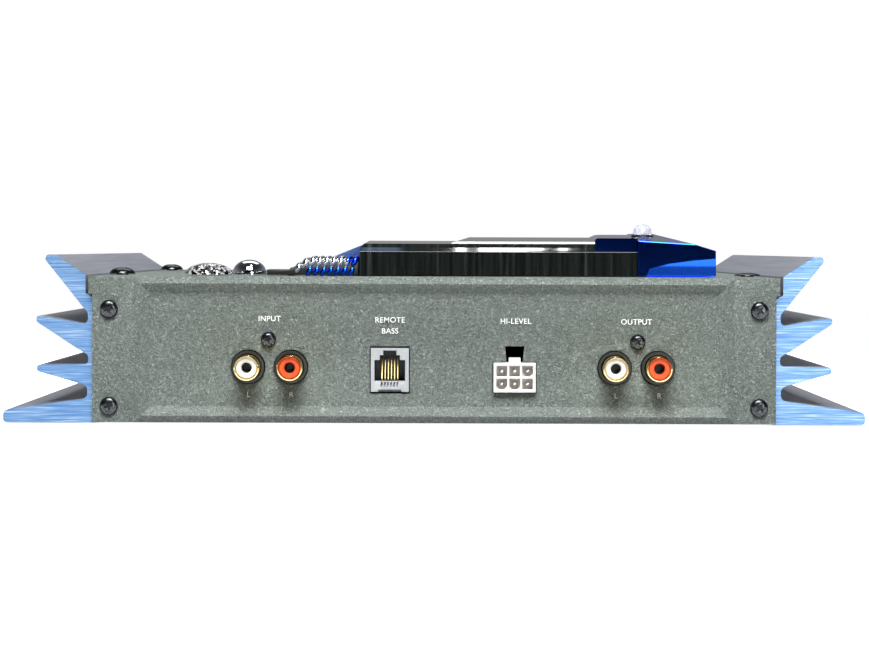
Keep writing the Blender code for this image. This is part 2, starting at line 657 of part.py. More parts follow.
def power_parts(copper, sleeve, steel):
    ring = [(10, 1.5), (11.5, 0), (20, 0), (21.5, 1.5), (21.5, 13.5), (20, 15), (11.5, 15), (10, 13.5)]
    turned("toroid_transformer", ring[::-1], (-45, -60, BOARD_TOP + GAP), UP, copper, 20, True)
    can = [(0, 30), (8.4, 30), (9, 29.4), (9, 0), (0, 0)]
    for index, (x, y) in enumerate(((10, -75), (32, -75), (10, -48), (32, -48))):
        turned(f"capacitor_{index + 1}", can, (x, y, BOARD_TOP + GAP), UP, sleeve, 16)
    for side, x in (("left", -96.5), ("right", 96.5)):
        low, high = (x - 1.5, -90, BOARD_TOP + 8), (x + 1.5, 110, BOARD_TOP + 16)
        block(f"transistor_clamp_{side}", low, high, steel)


def main():
    clear_scene()
    paint = material("hammertone_paint", 0.22, 0.26, 0.22, 0.55)
    aluminium = material("brushed_aluminium", 0.50, 0.60, 0.75, 0.35, 1.0)
    steel = material("zinc_steel", 0.55, 0.55, 0.56, 0.4, 1.0)
    black_screw = material("black_oxide_steel", 0.02, 0.02, 0.02, 0.35, 0.8)
    black = material("black_nylon", 0.02, 0.02, 0.02, 0.5)
    gold = material("gold_plate", 0.90, 0.75, 0.38, 0.2, 1.0)
    white = material("white_nylon", 0.85, 0.84, 0.82, 0.4)
    red = material("red_nylon", 0.85, 0.16, 0.04, 0.4)
    grey = material("grey_nylon", 0.55, 0.56, 0.58, 0.45)
    mirror = material("blue_mirror_plating", 0.03, 0.08, 0.45, 0.05, 1.0)
    chrome = material("chrome", 0.80, 0.82, 0.85, 0.08, 1.0)
    crystal = material("crystal", 0.85, 0.86, 0.90, 0.05)
    fuse_green = material("fuse_green", 0.05, 0.55, 0.20, 0.25)
    board_green = material("circuit_board", 0.02, 0.18, 0.08, 0.5)
    copper = material("enamelled_copper", 0.55, 0.22, 0.08, 0.35, 0.6)
    sleeve = material("capacitor_sleeve", 0.02, 0.02, 0.05, 0.35)

    heatsinks(aluminium)
    covers(paint, steel)
    front_panel(paint)
    rear_panel(paint)
    front_fasteners(black_screw)
    cover_fasteners(black_screw)
    jack_housings(black)
    jacks(gold, white, red)
    bass_socket(grey, gold)
    hi_level_header(white, chrome)
    trim_bar(mirror)
    trim_end_cap(mirror)
    top_details(mirror, chrome, crystal)
    terminal_blocks(black, steel)
    fuses(black, fuse_green)
    controls(grey, black)
    boards(board_green)
    power_parts(copper, sleeve, steel)
    smooth_round_pieces()


main()
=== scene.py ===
"""Car amplifier: finished surfaces and fine pieces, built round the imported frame.

Lengths typed here are in millimetres and are turned into metres by MM, except the stage's, which are in
metres. The frame has +Z up, and -Y points from the amplifier's middle towards the panel with the signal
sockets. Run it as a script in Blender 4.5.
"""

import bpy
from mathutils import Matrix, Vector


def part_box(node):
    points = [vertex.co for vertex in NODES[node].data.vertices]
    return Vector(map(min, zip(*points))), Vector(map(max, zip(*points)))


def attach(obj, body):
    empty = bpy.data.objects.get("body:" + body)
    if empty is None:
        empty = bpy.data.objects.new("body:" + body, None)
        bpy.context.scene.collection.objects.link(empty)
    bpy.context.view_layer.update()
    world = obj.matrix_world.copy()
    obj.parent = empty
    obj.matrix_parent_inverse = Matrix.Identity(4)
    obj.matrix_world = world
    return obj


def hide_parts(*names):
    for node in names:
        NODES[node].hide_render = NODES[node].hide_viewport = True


bl_info = {
    "name": "Car Amplifier",
    "version": (1, 0, 0),
    "blender": (4, 5, 0),
    "location": "View3D > Sidebar > Amplifier",
    "description": "Finishes a finned car amplifier with painted panels, sockets and mirror trim",
    "category": "Object",
}

from math import cos, pi, radians, sin, tau

import bmesh
import bpy
from bpy.props import FloatProperty, FloatVectorProperty, IntProperty, PointerProperty
from mathutils import Matrix, Vector

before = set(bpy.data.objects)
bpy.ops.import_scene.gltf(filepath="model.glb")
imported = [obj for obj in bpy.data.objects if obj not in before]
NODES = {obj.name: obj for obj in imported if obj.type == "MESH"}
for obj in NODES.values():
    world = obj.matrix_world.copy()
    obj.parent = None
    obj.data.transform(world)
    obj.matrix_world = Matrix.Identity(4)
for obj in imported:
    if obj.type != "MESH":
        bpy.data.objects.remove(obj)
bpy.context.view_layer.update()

MM = 0.001
MERGE = 1e-6
FACING_FRONT = Matrix.Rotation(pi / 2, 4, "X")
FACING_REAR = Matrix.Rotation(-pi / 2, 4, "X")
FACING_UP = Matrix.Identity(4)
FACING_DOWN = Matrix.Rotation(pi, 4, "X")


# ------------------------------------------------------------------ places read from the frame

def middle(node):
    low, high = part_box(node)
    return (low + high) / 2


def face_middle(node, axis, end):
    """The middle of one face of a node's box: its low face (end 0) or its high face (end 1) along an axis."""
    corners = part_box(node)
    spot = Vector([(low + high) / 2 for low, high in zip(*corners)])
    spot[axis] = corners[end][axis]
    return spot


def half_width_and_height(node):
    low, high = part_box(node)
    return (high.x - low.x) / 2 / MM, (high.z - low.z) / MM


FRONT_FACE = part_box("front_panel")[0].y
REAR_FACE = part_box("rear_panel")[1].y
COVER_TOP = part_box("top_cover")[1].z


# ------------------------------------------------------------------ colours and nodes

def linear(hex_colour):
    """An sRGB hex colour as linear red, green and blue, with full alpha."""
    shares = [int(hex_colour[start:start + 2], 16) / 255 for start in (1, 3, 5)]
    return [
        share / 12.92 if share < 0.04045 else ((share + 0.055) / 1.055) ** 2.4 for share in shares
    ] + [1.0]


def add_node(tree, kind, settings=None, inputs=None):
    """Add a node, set its properties, and feed its inputs with values or with other nodes' outputs."""
    node = tree.nodes.new(kind)
    for name, value in (settings or {}).items():
        setattr(node, name, value)
    for name, value in (inputs or {}).items():
        if isinstance(value, bpy.types.NodeSocket):
            tree.links.new(value, node.inputs[name])
        else:
            node.inputs[name].default_value = value
    return node


def start_material(name, hex_colour, roughness, metallic=0.0, **more):
    """A material with a Principled shader set up, and its node tree."""
    made = bpy.data.materials.new(name)
    made.use_nodes = True
    shader = made.node_tree.nodes["Principled BSDF"]
    shader.inputs["Base Color"].default_value = linear(hex_colour)
    shader.inputs["Roughness"].default_value = roughness
    shader.inputs["Metallic"].default_value = metallic
    for socket, value in more.items():
        shader.inputs[socket.replace("_", " ")].default_value = value
    return made, made.node_tree, shader


def ramp(tree, factor, stops):
    """Feed a factor through a colour ramp whose stops are (position, hex colour)."""
    node = add_node(tree, "ShaderNodeValToRGB", inputs={"Fac": factor})
    while len(node.color_ramp.elements) < len(stops):
        node.color_ramp.elements.new(0.5)
    for element, (position, hex_colour) in zip(node.color_ramp.elements, stops):
        element.position = position
        element.color = linear(hex_colour)
    return node.outputs["Color"]


def object_places(tree, stretch):
    """Object coordinates divided by a length in millimetres, or by one such length for each axis."""
    lengths = stretch if isinstance(stretch, tuple) else (stretch,) * 3
    places = add_node(tree, "ShaderNodeTexCoord").outputs["Object"]
    scale = [1 / (length * MM) for length in lengths]
    return add_node(tree, "ShaderNodeMapping", inputs={"Vector": places, "Scale": scale}).outputs["Vector"]


def texture(tree, kind, stretch, **more):
    """A texture node over object coordinates, whose grains are about as long as the stretch."""
    return add_node(
        tree, kind, inputs={"Vector": object_places(tree, stretch), "Scale": 1.0, **more}
    ).outputs


def finish(tree, shader, colour=None, roughness=None, height=None, depth=0.05, strength=1.0):
    """Link a colour, a roughness and a height of so many millimetres to the shader."""
    if colour:
        tree.links.new(colour, shader.inputs["Base Color"])
    if roughness:
        tree.links.new(roughness, shader.inputs["Roughness"])
    if height:
        bump = add_node(
            tree, "ShaderNodeBump", inputs={"Height": height, "Distance": depth * MM, "Strength": strength}
        )
        tree.links.new(bump.outputs["Normal"], shader.inputs["Normal"])


# ------------------------------------------------------------------ materials

def hammertone_paint():
    """Hammertone enamel on sheet steel: leathery wrinkles whose colour follows their height, with painted
    shade in the dips and painted light on the crests.
    """
    made, tree, shader = start_material(
        "hammertone_paint", "#6E7872", 0.52, Coat_Weight=0.12, Coat_Roughness=0.35
    )
    width = bpy.context.scene.amplifier_casing.wrinkle
    wrinkles = texture(tree, "ShaderNodeTexNoise", width, Detail=2.0, Distortion=1.3)["Fac"]
    # The colour stops run with the wrinkles' height: the dark ones are painted shade in the dips, the pale
    # ones painted light on the crests.
    stops = [(0.31, "#515B55"), (0.46, "#68726C"), (0.59, "#7D8781"), (0.70, "#A3ADA7")]
    rough = add_node(
        tree, "ShaderNodeMapRange", inputs={"Value": wrinkles, "To Min": 0.66, "To Max": 0.36}
    ).outputs["Result"]
    finish(tree, shader, ramp(tree, wrinkles, stops), rough, wrinkles, 1.0)
    return made


def zinc_steel():
    """Bright zinc plate on steel, with a fine crystalline mottle."""
    made, tree, shader = start_material("zinc_steel", "#A9ABAE", 0.36, 1.0)
    mottle = texture(tree, "ShaderNodeTexVoronoi", 2.5)["Distance"]
    finish(tree, shader, ramp(tree, mottle, [(0.1, "#9C9EA2"), (0.8, "#B9BBBE")]), None, mottle, 0.004, 0.4)
    return made


def blue_mirror_plating():
    """Vacuum-plated plastic under candy blue lacquer: a dark mirror that turns bright blue in the light."""
    made, tree, shader = start_material("blue_mirror_plating", "#1F57D8", 0.07, 1.0)
    shader.inputs["Base Color"].default_value = (*bpy.context.scene.amplifier_trim.lacquer, 1.0)
    finish(tree, shader, None, None, texture(tree, "ShaderNodeTexNoise", 18)["Fac"], 0.03, 0.5)
    return made


def mosaic_with_painted_flash():
    """A skin of tiny mirror chips whose colour runs at random from black to white, chip by chip: painted
    reflections that stand in for chips tilted their own way.
    """
    made, tree, shader = start_material("mosaic_with_painted_flash", "#A0A4A8", 0.2, 0.7)
    chips = texture(tree, "ShaderNodeTexVoronoi", 0.8)
    painted_flash = add_node(tree, "ShaderNodeSeparateColor", inputs={"Color": chips["Color"]}).outputs["Red"]
    # Chip tones from black to white are painted reflections: dark chips as painted shade, white ones as
    # painted flashes.
    colour = ramp(tree, painted_flash, [(0.40, "#08090A"), (0.55, "#3A3D40"), (0.62, "#C9CDD2"), (0.90, "#FFFFFF")])
    finish(tree, shader, colour, None, chips["Distance"], 0.25)
    return made


def solder_mask():
    """Glass-epoxy board under green solder mask, with copper tracks that show as paler lines."""
    made, tree, shader = start_material("solder_mask", "#14522E", 0.35)
    colours = {"Color1": linear("#124A2A"), "Color2": linear("#16552F"), "Mortar": linear("#2F7F4C")}
    tracks = texture(tree, "ShaderNodeTexBrick", 8, **colours, **{"Mortar Size": 0.05})
    finish(tree, shader, tracks["Color"], None, tracks["Fac"], 0.035, 0.6)
    return made


def enamelled_copper():
    """Enamelled copper winding: orange-brown wires side by side, running over the ring."""
    made, tree, shader = start_material("enamelled_copper", "#B5622B", 0.3, 0.8)
    wires = add_node(
        tree, "ShaderNodeTexWave",
        inputs={"Vector": object_places(tree, (1.1, 1.1, 400)), "Scale": 0.5, "Distortion": 0.6},
    ).outputs["Fac"]
    finish(tree, shader, ramp(tree, wires, [(0.1, "#6F3313"), (0.6, "#BE6A30")]), None, wires, 0.3, 0.7)
    return made


def grained(name, base, stretch, stops=(), bump=(), grain=None, **more):
    """A material whose colour follows one noise, as does its surface where it has a bump.

    base is (colour, roughness, metallic), bump is (depth in millimetres, strength), and grain holds the
    noise's own settings.
    """
    made, tree, shader = start_material(name, *base, **more)
    noise = texture(tree, "ShaderNodeTexNoise", stretch, **(grain or {}))["Fac"]
    finish(tree, shader, ramp(tree, noise, stops) if stops else None, None, noise if bump else None, *bump)
    return made


def moulded_plastic(name, hex_colour, shadow, roughness=0.42, glow=0.0):
    """Injection-moulded nylon: a low sheen over a fine spark-eroded grain, milky inside where it glows."""
    return grained(
        name, (hex_colour, roughness), 0.35, [(0.3, shadow), (0.6, hex_colour)], (0.02, 0.5),
        Subsurface_Weight=glow, Subsurface_Scale=1.5 * MM, Subsurface_Radius=(1, 1, 1),
    )


PATTERNED = {
    maker.__name__: maker
    for maker in (
        hammertone_paint, zinc_steel, blue_mirror_plating, mosaic_with_painted_flash, solder_mask, enamelled_copper,
    )
}
PLASTICS = {
    "black_nylon": ("#101112", "#09090A"),
    "white_nylon": ("#ECEAE7", "#DEDCD8", 0.42, 0.5),
    "red_nylon": ("#E2551E", "#C84412"),
    "grey_nylon": ("#B6BABD", "#A6AAAD"),
    "black_epoxy_and_painted_shade": ("#1A1A1C", "#121214"),
}
GRAINED = {
    # Aluminium cut across the extrusion: a pale blue anodic film over fine bright lines, brushed sideways
    "saw_cut_aluminium": dict(
        base=("#86AEDD", 0.36, 0.6), stretch=(11, 11, 0.22), bump=(0.02, 0.5), grain={"Distortion": 0.05},
        stops=[(0.30, "#4470A8"), (0.46, "#6087B6"), (0.58, "#7499C2"), (0.72, "#ACC2D8")],
    ),
    # Aluminium as it leaves the die: dull satin grey, with faint die lines along its length
    "extruded_aluminium": dict(
        base=("#777A82", 0.6, 0.25), stretch=(1.2, 90, 1.2), stops=[(0.3, "#71747C"), (0.7, "#7F828A")],
    ),
    # Black-oxide screw steel: oily and near black, so edges catch small bright glints; a screw's cross recess
    # takes black painted shade instead
    "black_oxide_steel": dict(
        base=("#55585A", 0.24, 1.0), stretch=0.5, stops=[(0.35, "#2C2E30"), (0.7, "#54575A")],
        bump=(0.01, 0.5),
    ),
    # Bright gold flash over nickel on turned brass: smooth, pale and warm, with faint turning marks
    "gold_plate": dict(
        base=("#F3DD9C", 0.16, 1.0), stretch=(4, 0.25, 4), stops=[(0.3, "#EBD08A"), (0.7, "#F8E8B4")],
        bump=(0.006, 0.4),
    ),
    # Thin gold flash on spring wire: duller and browner than a barrel, so it reads as fine dark-gold lines
    "worn_gold": dict(
        base=("#B09A5E", 0.45, 0.85), stretch=(0.6, 3, 3), stops=[(0.3, "#8F7C48"), (0.7, "#C4AE72")],
    ),
    # Black gloss acrylic: a hard clear surface over black, whose colour carries faint vertical streaks as
    # painted reflections
    "smoked_acrylic": dict(
        base=("#0B0C0E", 0.05), stretch=(1.6, 60, 60), grain={"Detail": 3.0},
        stops=[(0.40, "#101312"), (0.58, "#1D2120"), (0.78, "#3A403E")],
        IOR=1.49, Coat_Weight=0.6, Coat_Roughness=0.02,
    ),
    # Decorative chrome on plastic: a clean cool mirror with a slight orange-peel waviness
    "chrome_plating": dict(base=("#DADEE4", 0.06, 1.0), stretch=2, bump=(0.03, 0.6)),
    # Blue lacquer over satin metal: a soft blue-grey sheen that shows no clear reflections
    "satin_blue_lacquer": dict(
        base=("#37588F", 0.45, 0.8), stretch=(6, 6, 3), stops=[(0.3, "#2C4A80"), (0.7, "#5874A0")],
    ),
    # Cut clear acrylic: flat facets that bend and mirror what is round them
    "clear_acrylic": dict(
        base=("#EDEDF4", 0.03), stretch=0.8, stops=[(0.3, "#DCDCE8"), (0.7, "#F8F8FC")],
        IOR=1.49, Transmission_Weight=0.45,
    ),
    # Nickel plate on brass: slightly warm and softly polished
    "nickel_plate": dict(
        base=("#C9C4B8", 0.24, 1.0), stretch=(0.4, 6, 0.4), stops=[(0.3, "#BBB6AA"), (0.7, "#D6D2C8")],
        bump=(0.005, 0.5),
    ),
    # Clear tinted polycarbonate of a blade fuse: glossy and partly see-through
    "tinted_polycarbonate": dict(
        base=("#27A75A", 0.12), stretch=3, stops=[(0.3, "#1F9550"), (0.7, "#3CBF70")],
        IOR=1.58, Transmission_Weight=0.35,
    ),
    # PVC sleeve shrunk on a capacitor: dark blue-black, smooth and slightly wavy
    "shrink_sleeve": dict(
        base=("#15182B", 0.3), stretch=(5, 5, 9), stops=[(0.3, "#101322"), (0.7, "#1D2138")],
        bump=(0.05, 0.5),
    ),
    # White screen-print ink: flat, and slightly thin where the paint under it is rough
    "screen_print_ink": dict(
        base=("#FBFCFA", 0.6), stretch=0.5, stops=[(0.30, "#E4E7E1"), (0.50, "#FFFFFF")],
    ),
    # Pale paper lit from below, with a barely visible tooth
    "studio_paper": dict(
        base=("#F4F4F4", 0.9), stretch=2, stops=[(0.2, "#F1F1F1"), (0.8, "#F7F7F7")],
        Emission_Strength=0.75, Emission_Color=linear("#FFFFFF"),
    ),
    # Black studio cloth: takes up light and gives mirrors something dark to show
    "flag_cloth": dict(
        base=("#060606", 0.95), stretch=3, stops=[(0.2, "#040404"), (0.8, "#090909")],
        Specular_IOR_Level=0.0,
    ),
}


def look(name):
    """The named finish, made the first time that it is asked for."""
    if name in bpy.data.materials and bpy.data.materials[name].get("finished"):
        return bpy.data.materials[name]
    if name in GRAINED:
        made = grained(name, **GRAINED[name])
    elif name in PLASTICS:
        made = moulded_plastic(name, *PLASTICS[name])
    else:
        made = PATTERNED[name]()
    made["finished"] = True
    return made


# ------------------------------------------------------------------ modelling helpers

def deselect():
    bpy.ops.object.select_all(action="DESELECT")


def activate(piece):
    deselect()
    piece.select_set(True)
    bpy.context.view_layer.objects.active = piece


def primitive(add, **settings):
    """Add a primitive with nothing else selected, and return it."""
    deselect()
    add(**settings)
    return bpy.context.object


def box(low, high):
    """A cube primitive between two corners, in millimetres, with its scale applied."""
    low, high = Vector(low) * MM, Vector(high) * MM
    piece = primitive(bpy.ops.mesh.primitive_cube_add, size=1.0, location=(low + high) / 2)
    piece.scale = high - low
    settle(piece)
    return piece


def rod(radius, depth, where, sides):
    """An upright cylinder primitive about a place, in millimetres, with its scale applied."""
    piece = primitive(
        bpy.ops.mesh.primitive_cylinder_add, vertices=sides, radius=radius * MM, depth=depth * MM,
        location=[value * MM for value in where],
    )
    settle(piece)
    return piece


def settle(piece):
    """Move the piece's place, turn and scale into its mesh, and leave the object at the origin."""
    activate(piece)
    bpy.ops.object.transform_apply(location=True, rotation=True, scale=True)


def place(piece, where, turn=FACING_UP):
    """Turn a piece that was modelled about the origin, and move it to a place in metres."""
    piece.matrix_world = Matrix.Translation(where) @ turn
    settle(piece)
    return piece


def copied(piece, name):
    """A copy with its own mesh."""
    twin = bpy.data.objects.new(name, piece.data.copy())
    bpy.context.scene.collection.objects.link(twin)
    return twin


def edit_mode(piece, kind="FACE"):
    activate(piece)
    bpy.ops.object.mode_set(mode="EDIT")
    bpy.ops.mesh.select_mode(type=kind)
    bpy.ops.mesh.select_all(action="DESELECT")


def object_mode():
    bpy.ops.object.mode_set(mode="OBJECT")


def pick(piece, test):
    """In edit mode, select the faces that pass a test of (middle in millimetres, normal)."""
    shape = bmesh.from_edit_mesh(piece.data)
    for face in shape.faces:
        face.select_set(bool(test(face.calc_center_median() / MM, face.normal)))
    bmesh.update_edit_mesh(piece.data)


def reshape(piece, test, change, **settings):
    """Change the faces of a piece that pass a test."""
    edit_mode(piece)
    pick(piece, test)
    change(**settings)
    object_mode()


def clean(piece):
    """Merge doubles and point every face outwards."""
    edit_mode(piece, "VERT")
    bpy.ops.mesh.select_all(action="SELECT")
    bpy.ops.mesh.remove_doubles(threshold=MERGE)
    bpy.ops.mesh.normals_make_consistent(inside=False)
    object_mode()


def apply_modifier(piece, kind, **settings):
    activate(piece)
    modifier = piece.modifiers.new(kind.lower(), kind)
    for name, value in settings.items():
        setattr(modifier, name, value)
    bpy.ops.object.modifier_apply(modifier=modifier.name)


def round_edges(piece, width, segments=2, angle=32):
    apply_modifier(
        piece, "BEVEL", width=width * MM, segments=segments, limit_method="ANGLE",
        angle_limit=radians(angle), miter_outer="MITER_ARC",
    )


def carve(piece, tool, operation="DIFFERENCE"):
    """Cut a tool out of a piece, or join it on, and remove the tool."""
    apply_modifier(piece, "BOOLEAN", object=tool, operation=operation, solver="EXACT")
    bpy.data.objects.remove(tool)


def shade(piece, angle=32):
    activate(piece)
    bpy.ops.object.shade_smooth_by_angle(angle=radians(angle))


def lathe(profile, steps=40, closed=False):
    """Draw (radius, height) points vertex by vertex, and spin them about the Z axis."""
    piece = primitive(bpy.ops.mesh.primitive_plane_add, size=0.001)
    edit_mode(piece, "VERT")
    bpy.ops.mesh.select_all(action="SELECT")
    bpy.ops.mesh.merge(type="CENTER")
    here = Vector((0, 0))
    points = list(profile) + ([profile[0]] if closed else [])
    for index, point in enumerate(points):
        step = Vector(point) - here
        move = (step.x * MM, 0, step.y * MM)
        if index == 0:
            bpy.ops.transform.translate(value=move)
        else:
            bpy.ops.mesh.extrude_region_move(TRANSFORM_OT_translate={"value": move})
        here = Vector(point)
    bpy.ops.mesh.select_all(action="SELECT")
    bpy.ops.mesh.spin(steps=steps, angle=tau, center=(0, 0, 0), axis=(0, 0, 1))
    object_mode()
    clean(piece)
    return piece


def arc(radius, rise, base=0.0, points=8):
    """A quarter-ellipse profile from the crown down to the rim."""
    turns = [pi / 2 * step / points for step in range(points + 1)]
    return [(radius * sin(turn), base + rise * cos(turn)) for turn in turns]


def refined(node, width, segments=2, angle=32):
    """A merged copy of a CAD node, with its flat faces made whole and its edges rounded."""
    piece = copied(NODES[node], node + "_finished")
    piece.data.materials.clear()
    edit_mode(piece, "VERT")
    bpy.ops.mesh.select_all(action="SELECT")
    bpy.ops.mesh.remove_doubles(threshold=MERGE)
    bpy.ops.mesh.dissolve_limited(angle_limit=radians(0.5))
    object_mode()
    if width:
        round_edges(piece, width, segments, angle)
    shade(piece)
    return piece


def join(pieces):
    """Join pieces into the first one."""
    deselect()
    for piece in pieces:
        piece.select_set(True)
    bpy.context.view_layer.objects.active = pieces[0]
    bpy.ops.object.join()
    return pieces[0]


def hand_over(piece, name, finish_name, body="chassis", nodes=()):
    """Name a settled piece, give it its finish if it has none, and put it on its body."""
    piece.name = name
    if not piece.data.materials:
        piece.data.materials.append(look(finish_name))
    if nodes:
        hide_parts(*nodes)
    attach(piece, body)
    return piece


def stand_in(piece, node, finish_name, body="chassis"):
    """Hand over a piece that takes a CAD node's place."""
    return hand_over(piece, node + "_finished", finish_name, body, [node])


def refine(node, width, finish_name, segments=2, body="chassis"):
    """Put a CAD node with rounded edges in the node's place."""
    return stand_in(refined(node, width, segments), node, finish_name, body)


def paint_faces(piece, finishes, choose):
    """Give a piece several finishes; choose picks one for a face's (middle in millimetres, normal)."""
    piece.data.materials.clear()
    for name in finishes:
        piece.data.materials.append(look(name))
    for polygon in piece.data.polygons:
        polygon.material_index = choose(polygon.center / MM, polygon.normal)


# ------------------------------------------------------------------ settings shown in the sidebar

class CasingSettings(bpy.types.PropertyGroup):
    wrinkle: FloatProperty(
        name="Wrinkle Size", description="Width of a wrinkle in the hammertone paint, in millimetres",
        default=0.7, min=0.2, max=5.0,
    )
    edge: FloatProperty(
        name="Edge Radius", description="Rounding of the painted panels' edges, in millimetres",
        default=0.18, min=0.05, max=1.0,
    )
    fin_edge: FloatProperty(
        name="Fin Edge Width", description="Width of the bevel round the fins' cut ends, in millimetres",
        default=0.3, min=0.05, max=0.5,
    )


class SocketSettings(bpy.types.PropertyGroup):
    barrel: FloatProperty(
        name="Barrel Radius", description="Outer radius of a jack's barrel, in millimetres",
        default=4.1, min=3.9, max=4.2,
    )
    pin_hole: FloatProperty(
        name="Pin Hole Radius", description="Radius of the hole for a plug's pin, in millimetres",
        default=1.7, min=1.6, max=1.8,
    )
    legend: FloatProperty(
        name="Legend Height", description="Height of the printed capitals, in millimetres",
        default=1.75, min=1.0, max=4.0,
    )


class TrimSettings(bpy.types.PropertyGroup):
    lacquer: FloatVectorProperty(
        name="Lacquer", description="Colour of the lacquer over the mirror plating",
        subtype="COLOR", size=3, min=0.0, max=1.0, default=(0.012, 0.09, 0.62),
    )
    bead: FloatProperty(
        name="Bead Pitch", description="Distance between beads on the beaded pad, in millimetres",
        default=2.35, min=1.5, max=5.0,
    )


class StageSettings(bpy.types.PropertyGroup):
    distance: FloatProperty(
        name="Camera Distance", description="From the camera to the socket panel, in metres",
        default=1.056, min=0.3, max=5.0, unit="LENGTH",
    )
    height: FloatProperty(
        name="Camera Height", description="Height of the camera above the floor, in metres",
        default=0.0578, min=0.0, max=2.0, unit="LENGTH",
    )
    lens: FloatProperty(
        name="Lens", description="Focal length of the camera, in millimetres",
        default=134.3, min=20.0, max=300.0,
    )


# ------------------------------------------------------------------ casing

class AMPLIFIER_OT_casing(bpy.types.Operator):
    """Finish the heatsinks, the covers and the end panels"""

    bl_idname = "amplifier.casing"
    bl_label = "Casing"

    def execute(self, context):
        settings = context.scene.amplifier_casing
        for node in ("left_heatsink", "right_heatsink"):
            sink = refined(node, settings.fin_edge, 1, 80)
            end = abs(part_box(node)[0].y) / MM
            paint_faces(
                sink, ("extruded_aluminium", "saw_cut_aluminium"),
                lambda spot, normal: int(abs(normal.y) > 0.5 and abs(spot.y) > end - 1),
            )
            stand_in(sink, node, "")
        for node in ("top_cover", "front_panel", "rear_panel"):
            refine(node, settings.edge, "hammertone_paint")
        refine("bottom_plate", 0.3, "zinc_steel")
        return {"FINISHED"}


# ------------------------------------------------------------------ screws

def cross_screw(head, rise, shank, length):
    """A pan-head screw about the origin, with a tapered cross recess. Its head points along +Z."""
    crown = ((0, 1), (0.55, 0.97), (0.8, 0.82), (0.94, 0.55), (1.0, 0.2))
    profile = [(head * across, rise * up) for across, up in crown]
    profile += [(head, 0), (shank, 0), (shank, -length), (0, -length)]
    screw = lathe(profile, 40)
    round_edges(screw, 0.12, 2)
    for turn in (0, pi / 2):
        wing = primitive(bpy.ops.mesh.primitive_cube_add, size=1.0, rotation=(0, 0, turn))
        wing.scale = (head * 1.25 * MM, head * 0.3 * MM, rise * 1.4 * MM)
        wing.location.z = rise * 1.05 * MM
        settle(wing)
        reshape(wing, lambda spot, normal: normal.z < -0.9, bpy.ops.transform.resize, value=(0.55, 0.55, 1))
        carve(screw, wing)
    point = primitive(
        bpy.ops.mesh.primitive_cone_add, vertices=16, radius1=0.02 * MM, radius2=head * 0.33 * MM,
        depth=rise * 1.2 * MM, location=(0, 0, rise * 0.75 * MM),
    )
    settle(point)
    carve(screw, point)
    shade(screw)
    # The walls and floor of the cross recess take the black finish as painted shade.
    paint_faces(
        screw, ("black_oxide_steel", "black_epoxy_and_painted_shade"),
        lambda spot, normal: int(0.1 < spot.z < rise * 0.9 and spot.xy.length < head * 0.66),
    )
    return screw


def dome_screw(head, rise, shank, length):
    """A button-head screw about the origin, with a hexagon socket."""
    screw = lathe(arc(head, rise) + [(shank, 0), (shank, -length), (0, -length)], 48)
    carve(screw, rod(1.7, 3, (0, 0, rise), 6))
    round_edges(screw, 0.1, 2)
    shade(screw)
    return screw


class AMPLIFIER_OT_screws(bpy.types.Operator):
    """Fit the panels' cross-head screws and the cover's dome screws"""

    bl_idname = "amplifier.screws"
    bl_label = "Screws"

    def fit(self, screw, node, seat, turn=FACING_UP):
        """Put a copy of a screw in a CAD node's place."""
        stand_in(place(copied(screw, node), seat, turn), node, "black_oxide_steel")

    def front_seat(self, node, rise):
        """Where the underside of a front screw's head rests."""
        spot = middle(node)
        return Vector((spot.x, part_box(node)[0].y + rise * MM, spot.z))

    def execute(self, context):
        rise = 1.5
        head, _ = half_width_and_height("panel_screw_top_left")
        panel_screw = cross_screw(head, rise, shank=1.5, length=9.5)
        for level in ("top", "bottom"):
            for side, twist in (("left", 20), ("right", -35)):
                node = f"panel_screw_{level}_{side}"
                seat = self.front_seat(node, rise)
                self.fit(panel_screw, node, seat, FACING_FRONT @ Matrix.Rotation(radians(twist), 4, "Z"))
                seat.y = -seat.y
                rear = place(copied(panel_screw, node), seat, FACING_REAR)
                hand_over(rear, f"rear_screw_{level}_{side}", "black_oxide_steel")
        bpy.data.objects.remove(panel_screw)

        rise = 2.0
        jack_screw = cross_screw(2.55, rise, shank=1.3, length=8.5)
        for group, twist in (("input", 15), ("output", 40)):
            node = group + "_jack_screw"
            turn = FACING_FRONT @ Matrix.Rotation(radians(twist), 4, "Z")
            self.fit(jack_screw, node, self.front_seat(node, rise), turn)
        bpy.data.objects.remove(jack_screw)

        for side in ("left", "right"):
            node = "cover_screw_front_" + side
            head, _ = half_width_and_height(node)
            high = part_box(node)[1]
            rise = (high.z - COVER_TOP) / MM - 0.3
            cover_screw = dome_screw(head, rise, shank=2.2, length=5.2)
            for end in ("front", "rear"):
                node = f"cover_screw_{end}_{side}"
                spot = middle(node)
                self.fit(cover_screw, node, Vector((spot.x, spot.y, high.z - rise * MM)))
            bpy.data.objects.remove(cover_screw)
        return {"FINISHED"}


class AMPLIFIER_OT_underside(bpy.types.Operator):
    """Fit the bottom plate's flush screws"""

    bl_idname = "amplifier.underside"
    bl_label = "Underside"

    def execute(self, context):
        low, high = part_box("bottom_plate")
        flush = cross_screw(2.8, 0.5, shank=1.2, length=5)
        side_inset, end_inset, inner_row = 6 * MM, 12 * MM, 50 * MM
        rows = (low.y + end_inset, -inner_row, inner_row, high.y - end_inset)
        for row, y in enumerate(rows):
            for side, x in (("left", low.x + side_inset), ("right", high.x - side_inset)):
                screw = place(copied(flush, "flush"), (x, y, low.z + 0.25 * MM), FACING_DOWN)
                hand_over(screw, f"bottom_screw_{side}_{row + 1}", "black_oxide_steel")
        bpy.data.objects.remove(flush)
        return {"FINISHED"}


# ------------------------------------------------------------------ signal sockets

